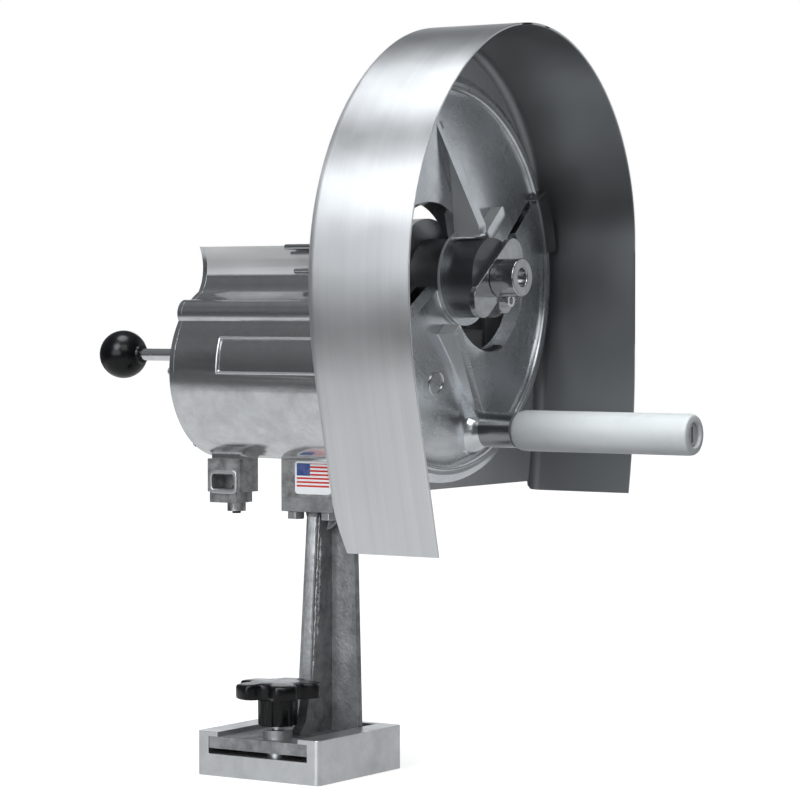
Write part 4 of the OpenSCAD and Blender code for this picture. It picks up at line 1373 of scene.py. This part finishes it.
@dataclass
class Housing:
    """The barrel casting, its rear cover, its bushes and its small screws."""

    y: float = 16.25
    z: float = 256.0
    edge: float = 0.9
    cover_edge: float = 0.8
    screw_edge: float = 0.3
    lip: tuple[float, float, float, float] = (-12.4, -6.4, 333.4, 336.9)
    lip_x: Pair = (-4.0, 60.0)
    lip_edge: float = 1.4
    mouth_x: Pair = (0.5, 60.0)
    bead_drop: Pair = (3.4, 1.2)
    bead_in: float = 1.0
    bead_edge: float = 0.7
    pin_at: Pair = (-6.2, 320.0)
    pin_r: float = 1.7
    pin_edge: float = 0.4
    lug: Triple = (-59.5, -1.25, 183.75)
    lug_frame: tuple[Triple, ...] = ((22.6, 15.4, 3.8), (17.6, 10.4, 2.4))
    lug_depth: Pair = (0.4, 1.5)
    lug_edge: float = 0.5
    name_x: Pair = (-35.5, 42.5)
    name_z: Pair = (255.5, 277.5)
    name_r: float = 57.7
    name_bead: float = 0.95
    head: tuple[Pair, ...] = ((1.9, 0.0), (1.9, 3.4), (1.5, 4.2), (0.6, 4.7), (0.0, 4.8), (0.0, 0.0))
    heads: int = 5
    heads_x: float = 95.3
    heads_r: float = 61.5
    heads_turn: Pair = (188.0, 43.5)

    def near_side(self, height: float) -> float:
        """Return the Y of the name place on the barrel's near side at one height."""
        return self.y - math.sqrt(self.name_r ** 2 - (height - self.z) ** 2)

    def small_parts(self, looks: Finishes) -> list[bpy.types.Object]:
        """Build the mouth's lip and pin, the frame round the lug's window and the bare name place's bead.

        Args:
            looks: The materials.

        Returns:
            The pieces.
        """
        y0, y1, z0, z1 = self.lip
        lip = eased(plate([[(y0, z0), (y1, z0), (y1, z1), (y0, z1)]], *self.lip_x), self.lip_edge, 4)
        low, high = (z0 - drop for drop in self.bead_drop)
        inset = y0 + self.bead_in
        bead = plate([[(inset, low), (y1, low), (y1, high), (inset, high)]], *self.mouth_x)
        bead = eased(bead, self.bead_edge, 3)
        (x0, x1), r, edge = self.mouth_x, self.pin_r, self.pin_edge
        pin = turned([(x0, 0.0), (x0, r - edge), (x0 + edge, r), (x1, r), (x1, 0.0)], self.pin_at, 32)
        x, y, z = self.lug
        loops = [[(u + x, w + z) for u, w in oblong(*size)] for size in self.lug_frame]
        rim = eased(plate(loops, -y - self.lug_depth[0], -y + self.lug_depth[1]), self.lug_edge, 3)
        bmesh.ops.rotate(rim, cent=(0.0, 0.0, 0.0), matrix=Matrix.Rotation(math.radians(-90.0), 3, "Z"),
                         verts=rim.verts[:])
        made = []
        x0, x1 = self.name_x
        rail = [(x0, 0.0), (x0, self.name_bead), (x1, self.name_bead), (x1, 0.0)]
        for k, height in enumerate(self.name_z):
            bar = turned(rail, (self.near_side(height), height), 20)
            made.append(piece(f"name_rail_{k + 1}", bar, looks.base))
        low, high = self.name_z
        heights = [low + (high - low) * i / 16 for i in range(17)]
        for k, x in enumerate(self.name_x):
            path = [Vector((x, self.near_side(height), height)) * MM for height in heights]
            end = wire(path, [self.name_bead * MM] * len(path), ALONG, 16)
            made.append(piece(f"name_end_{k + 1}", end, looks.base))
        return made + [piece("mouth_lip", lip, looks.polished), piece("mouth_bead", bead, looks.polished),
                       piece("mouth_pin", pin, looks.steel), piece("lug_frame", rim, looks.dull)]

    def build(self, looks: Finishes, ring: RingRule) -> None:
        """Build the softened casting and dress the parts on it.

        Args:
            looks: The materials.
            ring: The rule for parts in a ring.
        """
        shell = softened("housing", "housing_soft", looks.housing, self.edge, 3, 30.0)
        cover = softened("rear_cover", "rear_cover_soft", looks.polished, self.cover_edge, 3)
        for made in (shell, cover):
            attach(made, Body.STAND.value)
        for made in self.small_parts(looks):
            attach(made, Body.STAND.value)
        screws = softened("rear_cover_screws", "rear_cover_screws_soft", looks.zinc, self.screw_edge, 2)
        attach(screws, Body.STAND.value)
        heads = ring.copies("guard_screw_heads", turned(self.head, (0.0, 0.0), 40), self.heads,
                            (self.heads_x, self.y, self.z), self.heads_r, *self.heads_turn, looks.zinc)
        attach(heads, Body.STAND.value)
        for node in ("rod_bushing", "front_bushing", "rear_bushing", "thrust_washer"):
            dressed(node, looks.bronze)
        dressed("lug_screw", looks.black)
        dressed("guard_screws", looks.zinc)
        log.info("housing: casting %d faces", len(shell.data.polygons))


@dataclass
class Guard:
    """The bent sheet round the disc with its back sheet."""

    x0: float = 93.7
    x1: float = 167.3
    sheet: float = 1.6
    corner: float = 7.5
    step: float = 4.0
    sharp: float = 40.0
    foot: float = 183.0
    foot_rise: float = 3.0
    foot_cut: Pair = (36.0, 9.5)
    lap: float = 0.15
    front_edge: float = 0.4
    closest: float = 0.05
    arch_y: float = 12.3
    arch_z: float = 470.4
    arch_r: float = 120.3
    half: float = 28.65
    near_r: float = 161.3
    far_r: float = 131.8
    leg_r: float = 274.5
    leg_a: float = 13.7
    leg_len: float = 101.4
    far_len: float = 78.0
    far_leg_r: float = 462.0
    far_leg_a: float = 10.6
    rays_from: Pair = (16.0, 290.0)
    barrel_gap: Triple = (16.25, 256.0, 53.0)
    bearing_gap: Triple = (*SHAFT, 46.0)
    slot_gap: tuple[Pair, Pair] = ((-2.5, 70.25), (256.0, 338.0))
    rays: int = 240

    def arch(self, depth: float) -> list[Pair]:
        """Return the arch from the near foot over the top to the far foot.

        Args:
            depth: How far it is drawn in, in mm.

        Returns:
            Its points as (y, z).
        """
        half, leg, far_leg = (math.radians(a) for a in (self.half, self.leg_a, self.far_leg_a))
        up = math.pi / 2.0
        near_cy = self.arch_y + (self.near_r - self.arch_r) * math.sin(half)
        near_cz = self.arch_z - self.arch_r - (self.near_r - self.arch_r) * math.cos(half)
        far_cy = self.arch_y - (self.far_r - self.arch_r) * math.sin(half)
        far_cz = self.arch_z - self.arch_r - (self.far_r - self.arch_r) * math.cos(half)
        leg_cy = near_cy - self.near_r + self.leg_r
        far_leg_cy = far_cy + self.far_r - self.far_leg_r
        arcs = [(leg_cy, near_cz, self.leg_r, math.pi + leg, math.pi, 10),
                (near_cy, near_cz, self.near_r, math.pi, up + half, 44),
                (self.arch_y, self.arch_z - self.arch_r, self.arch_r, up + half, up - half, 36),
                (far_cy, far_cz, self.far_r, up - half, 0.0, 44),
                (far_leg_cy, far_cz - self.far_len, self.far_leg_r, 0.0, -far_leg, 10)]
        turn, reach = math.pi + leg, self.leg_r - depth
        points = [(leg_cy + reach * math.cos(turn) - self.leg_len * math.sin(turn),
                   near_cz + reach * math.sin(turn) + self.leg_len * math.cos(turn))]
        for cy, cz, r, start, end, steps in arcs:
            points += arc((cy, cz), r - depth, start, end, steps)
        kept = [points[0]]
        for p in points[1:]:
            if math.dist(p, kept[-1]) > self.closest:
                kept.append(p)
        return kept

    def section(self) -> list[Pair]:
        """Draw the bent sheet's section with its rounded rear corner.

        Returns:
            The section as (x, depth) in mm.
        """
        t, r, edge = self.sheet, self.corner, self.front_edge
        outer, inner = (arc((self.x0 + r, r), radius, math.pi, 1.5 * math.pi, 8) for radius in (r, r - t))
        front = [(self.x1 - edge, 0.0), (self.x1, edge), (self.x1, t - edge), (self.x1 - edge, t)]
        return outer + front + inner[::-1]

    def kept(self, points: list[Pair]) -> list[Pair]:
        """Return the part of an arch above the back sheet's lower edge.

        Args:
            points: The arch's points as (y, z), from one foot to the other.

        Returns:
            The points above, with one more at each crossing.
        """
        found = []
        for one, two in zip(points, points[1:]):
            if one[1] >= self.foot:
                found.append(one)
            if (one[1] < self.foot) != (two[1] < self.foot):
                share = (self.foot - one[1]) / (two[1] - one[1])
                found.append((one[0] + share * (two[0] - one[0]), self.foot))
        return found

    def opening(self) -> list[Pair]:
        """Draw the back sheet's opening, which clears the barrel, the front bearing and the slot.

        Returns:
            The outline as (y, z) in mm.
        """
        cy, cz = self.rays_from
        points = []
        for i in range(self.rays):
            a = TAU * i / self.rays
            uy, uz = math.cos(a), math.sin(a)
            far = 0.0
            for oy, oz, r in (self.barrel_gap, self.bearing_gap):
                dy, dz = cy - oy, cz - oz
                along = dy * uy + dz * uz
                far = max(far, -along + math.sqrt(along * along - dy * dy - dz * dz + r * r))
            exits = [((high if step > 0.0 else low) - start) / step
                     for (low, high), start, step in zip(self.slot_gap, (cy, cz), (uy, uz)) if abs(step) > 1e-9]
            far = max(far, min(exits))
            points.append((cy + far * uy, cz + far * uz))
        return points

    def build(self, looks: Finishes, sweep: SweepRule) -> None:
        """Build the bent sheet and the back sheet.

        Args:
            looks: The materials.
            sweep: The rule for swept pieces.
        """
        hood = sweep.swept("guard_hood", self.arch(0.0), self.section(), self.step, looks.sheet, self.sharp)
        bm = bmesh.new()
        bm.from_mesh(hood.data)
        slant = Vector((-self.foot_cut[0], 0.0, -self.foot_cut[1]))
        cut = bmesh.ops.bisect_plane(bm, geom=bm.verts[:] + bm.edges[:] + bm.faces[:], dist=1e-7,
                                     plane_co=Vector((self.x0, 0.0, self.foot + self.foot_rise)) * MM,
                                     plane_no=slant, clear_outer=True)
        open_edges = [e for e in cut["geom_cut"] if isinstance(e, bmesh.types.BMEdge)]
        bmesh.ops.holes_fill(bm, edges=open_edges, sides=0)
        bm.to_mesh(hood.data)
        bm.free()
        shaded(hood.data, self.sharp)
        inner = self.kept(self.arch(self.corner - self.lap))
        back = piece("guard_back", plate([inner, self.opening()], self.x0, self.x0 + self.sheet), looks.sheet)
        flat_run(back)
        for made in (hood, back):
            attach(made, Body.STAND.value)
        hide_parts("guard")
        log.info("guard: %d faces", len(hood.data.polygons))


@dataclass
class Rotor:
    """The shaft, the blade hub with its bar, the clamp plate and the nut."""

    hub_edge: float = 0.8
    plate_edge: float = 1.6
    nut_edge: float = 0.9
    screw_edge: float = 0.4

    def build(self, looks: Finishes) -> None:
        """Build and dress the turning parts behind the disc.

        Args:
            looks: The materials.
        """
        hub = softened("blade_hub", "blade_hub_soft", looks.hub, self.hub_edge, 3)
        clamp_plate = softened("clamp_plate", "clamp_plate_soft", looks.chrome, self.plate_edge, 4)
        nut = softened("shaft_nut", "shaft_nut_soft", looks.chrome, self.nut_edge, 3)
        screw = softened("clamp_screw", "clamp_screw_soft", looks.steel, self.screw_edge, 2)
        for made in (hub, clamp_plate, nut, screw):
            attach(made, Body.ROTOR.value)
        for node in ("spindle", "blades", "retaining_collar"):
            dressed(node, looks.steel)
        for node in ("blade_screws", "collar_screw"):
            dressed(node, looks.zinc)
        log.info("rotor: hub, clamp plate, nut")


@dataclass(frozen=True)
class Rib:
    """A rib of the disc: its run's ends from the shaft as (y, z), and X of root and crest over the face."""

    name: str
    start: Pair
    end: Pair
    first: Pair
    last: Pair


@dataclass
class Disc:
    """The round cutting disc with its windows, ribs and small cast marks."""

    y: float = SHAFT[0]
    z: float = SHAFT[1]
    edge: float = 1.0
    rim: float = 6.0
    ribs: tuple[Rib, ...] = (
        Rib("disc_rib_upper", polar(26.0, 98.5), polar(98.0, 98.5), (5.0, 27.3), (-1.0, 1.6)),
        Rib("disc_rib_lower", (-23.6, -31.5), (20.0, -84.0), (5.0, 21.3), (-1.0, 9.5)))
    rib_half: Pair = (5.6, 4.4)
    rib_steps: int = 12
    rib_side: tuple[Pair, ...] = ((-1.0, 0.0), (-0.86, 0.3), (-0.74, 0.7), (-0.66, 0.93), (-0.5, 0.99))
    mark_at: Pair = (-25.0, -64.5)
    mark_r: Pair = (6.4, 7.7)
    mark_up: float = 7.3
    mark_deep: float = 3.0
    mark_edge: float = 0.3
    mark_lean: float = 9.2
    line: tuple[Pair, ...] = (
        (-1.0, 116.6), (0.3, 116.7), (0.9, 117.4), (1.0, 118.2), (0.8, 119.0), (0.1, 119.6), (-1.0, 119.7))
    pad_r: Pair = (110.5, 124.5)
    pad_turns: Pair = (8.5, 27.5)
    pad_x: Pair = (-3.0, 5.0)
    pad_edge: float = 1.6
    block: Triple = (26.0, 8.5, 2.5)
    block_at: Pair = (28.0, 34.0)
    block_turn: float = 42.0
    block_x: Pair = (2.0, 17.5)
    block_edge: float = 1.2
    teeth: int = 14
    teeth_turn: Pair = (-130.0, 4.6)
    teeth_x: float = 4.0
    window_r: float = 46.0
    window_off: float = 34.5
    tooth_rows: tuple[Triple, ...] = (
        (-4.2, 1.15, -0.2), (-3.0, 1.2, -1.5), (3.0, 1.2, -1.5), (4.0, 1.15, -0.2))
    tooth_root: float = 0.8

    def fin(self, rib: Rib, face: float) -> Mesh:
        """Build a rib with leaning sides and a rounded crest.

        Args:
            rib: The rib's run and heights.
            face: X of the disc's face at the rim, in mm.

        Returns:
            The mesh in work.
        """
        run = Vector((0.0, rib.end[0] - rib.start[0], rib.end[1] - rib.start[1]))
        side = Vector((0.0, -run.z, run.y)).normalized()
        section = [*self.rib_side, (0.0, 1.0), *((-w, h) for w, h in self.rib_side[::-1])]
        rings = []
        for i in range(self.rib_steps + 1):
            share = i / self.rib_steps
            centre = Vector((0.0, self.y + rib.start[0], self.z + rib.start[1])) + run * share
            root, crest = (face + a + (b - a) * share for a, b in zip(rib.first, rib.last))
            half = self.rib_half[0] + (self.rib_half[1] - self.rib_half[0]) * share
            rings.append([(centre + side * (half * w) + Vector((root + (crest - root) * h, 0.0, 0.0))) * MM
                          for w, h in section])
        return loft(rings)

    def mark(self, face: float) -> Mesh:
        """Build the thin ring left by casting, lying on the disc's sloping face.

        Args:
            face: X of the disc's face at the rim, in mm.

        Returns:
            The mesh in work.
        """
        from_shaft = Vector((0.0, *self.mark_at))
        (inner, outer), edge = self.mark_r, self.mark_edge
        top = face + self.mark_up
        foot = top - self.mark_deep
        outline = [(foot, inner), (top - edge, inner), (top, inner + edge), (top, outer - edge),
                   (top - edge, outer), (foot, outer)]
        place = Vector((top, self.y, self.z)) + from_shaft
        ring = turned(outline, (place.y, place.z), 64, False)
        lean = Matrix.Rotation(math.radians(self.mark_lean), 3, ALONG.cross(from_shaft))
        bmesh.ops.rotate(ring, cent=place * MM, matrix=lean, verts=ring.verts[:])
        return ring

    def tooth(self) -> Mesh:
        """Return one tooth of the window's wall, drawn at the origin with +Y out of the window."""
        root = self.tooth_root
        return loft([[Vector(p) * MM for p in ((x, root, -half), (x, root, half), (x, tip, 0.0))]
                     for x, half, tip in self.tooth_rows])

    def pad(self, face: float) -> Mesh:
        """Build the raised pad that follows the rim.

        Args:
            face: X of the disc's face at the rim, in mm.

        Returns:
            The mesh in work.
        """
        inner, outer = self.pad_r
        start, end = (math.radians(a) for a in self.pad_turns)
        points = arc((self.y, self.z), outer, start, end, 10) + arc((self.y, self.z), inner, end, start, 10)
        return eased(plate([points], face + self.pad_x[0], face + self.pad_x[1]), self.pad_edge, 3)

    def build(self, looks: Finishes, ring: RingRule) -> None:
        """Build and dress the disc.

        Args:
            looks: The materials.
            ring: The rule for parts in a ring.
        """
        disc = softened("cutting_disc", "disc_soft", looks.disc, self.edge, 3, 30.0)
        lo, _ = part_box("cutting_disc")
        face = lo[0] / MM + self.rim
        middle = (self.y + self.block_at[0], self.z + self.block_at[1])
        outline = swung(oblong(*self.block), middle, self.block_turn)
        block = eased(plate([outline], face + self.block_x[0], face + self.block_x[1]), self.block_edge)
        line = turned([(face + x, r) for x, r in self.line], (self.y, self.z), 192, False)
        added = [piece("disc_rim_pad", self.pad(face), looks.hub), piece("disc_block", block, looks.disc),
                 piece("disc_mark", self.mark(face), looks.polished),
                 piece("disc_rim_line", line, looks.polished)]
        added += [piece(rib.name, self.fin(rib, face), looks.disc) for rib in self.ribs]
        teeth = ring.copies("window_teeth", self.tooth(), self.teeth,
                            (face + self.teeth_x, self.y + self.window_off, self.z), self.window_r,
                            *self.teeth_turn, looks.dark)
        for made in [disc, teeth] + added:
            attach(made, Body.DISC.value)
        dressed("crank_pin", looks.steel)
        log.info("disc: %d faces, %d teeth", len(disc.data.polygons), self.teeth)


@dataclass
class Crank:
    """The grip on its pin with the recessed screw."""

    y: float = 32.945
    z: float = 220.326
    x0: float = 142.9
    x1: float = 266.9
    radius: float = 12.7
    bore: float = 5.05
    recess: float = 7.4
    depth: float = 5.0
    nose: tuple[Pair, ...] = ((0.0, 3.4), (0.5, 2.4), (2.2, 0.9), (4.5, 0.15), (8.0, 0.0))
    tail: tuple[Pair, ...] = ((3.2, 0.0), (1.5, 0.35), (0.5, 1.0), (0.0, 2.2))
    mouth: tuple[Pair, ...] = ((0.0, 0.7), (0.5, 0.15), (1.0, 0.0))

    def build(self, looks: Finishes) -> None:
        """Build the grip and dress its screw.

        Args:
            looks: The materials.
        """
        outline = [(self.x0, self.bore)]
        outline += [(self.x0 + x, self.radius - less) for x, less in self.nose]
        outline += [(self.x1 - x, self.radius - less) for x, less in self.tail]
        outline += [(self.x1 - x, self.recess + more) for x, more in self.mouth]
        outline += [(self.x1 - self.depth, self.recess), (self.x1 - self.depth, self.bore)]
        grip = piece("grip_nylon", turned(outline, (self.y, self.z), 128, False), looks.nylon)
        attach(grip, Body.GRIP.value)
        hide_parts("handle_grip")
        dressed("grip_screw", looks.zinc)
        log.info("crank: grip")


@dataclass
class Pusher:
    """The rod with its ball knob and the plate inside the barrel."""

    y: float = 16.25
    z: float = 265.4
    ball_x: float = -155.5
    ball_r: float = 16.0
    plate_edge: float = 0.7
    neck_r: float = 6.4
    neck: tuple[Pair, ...] = ((-0.2, 6.0), (0.6, 5.9), (1.0, 5.4), (1.0, 4.0), (-8.0, 4.0), (-8.0, 0.0))

    def build(self, looks: Finishes) -> None:
        """Build the ball and dress the rod and plate.

        Args:
            looks: The materials.
        """
        end = math.asin(self.neck_r / self.ball_r)
        outline = [(self.ball_x - self.ball_r, 0.0)]
        outline += arc((self.ball_x, 0.0), self.ball_r, math.pi, end, 40)[1:]
        outline += [(self.ball_x + self.ball_r + x, r) for x, r in self.neck]
        ball = piece("ball_black", turned(outline, (self.y, self.z), 96), looks.black)
        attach(ball, Body.PUSHER.value)
        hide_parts("ball_knob")
        disc = softened("pusher_plate", "pusher_plate_soft", looks.dull, self.plate_edge, 2)
        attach(disc, Body.PUSHER.value)
        dressed("pusher_rod", looks.steel)
        dressed("pusher_nut", looks.zinc)
        log.info("pusher: ball, plate")


def main() -> None:
    """Build the studio and every sub-assembly."""
    logging.basicConfig(level=logging.INFO, format="%(name)s: %(message)s")
    looks = Finishes()
    ring = RingRule()
    sweep = SweepRule()
    Studio().build()
    Stand().build(looks)
    Clamp().build(looks)
    Housing().build(looks, ring)
    Guard().build(looks, sweep)
    Rotor().build(looks)
    Disc().build(looks, ring)
    Crank().build(looks)
    Pusher().build(looks)


if __name__ == "__main__":
    main()
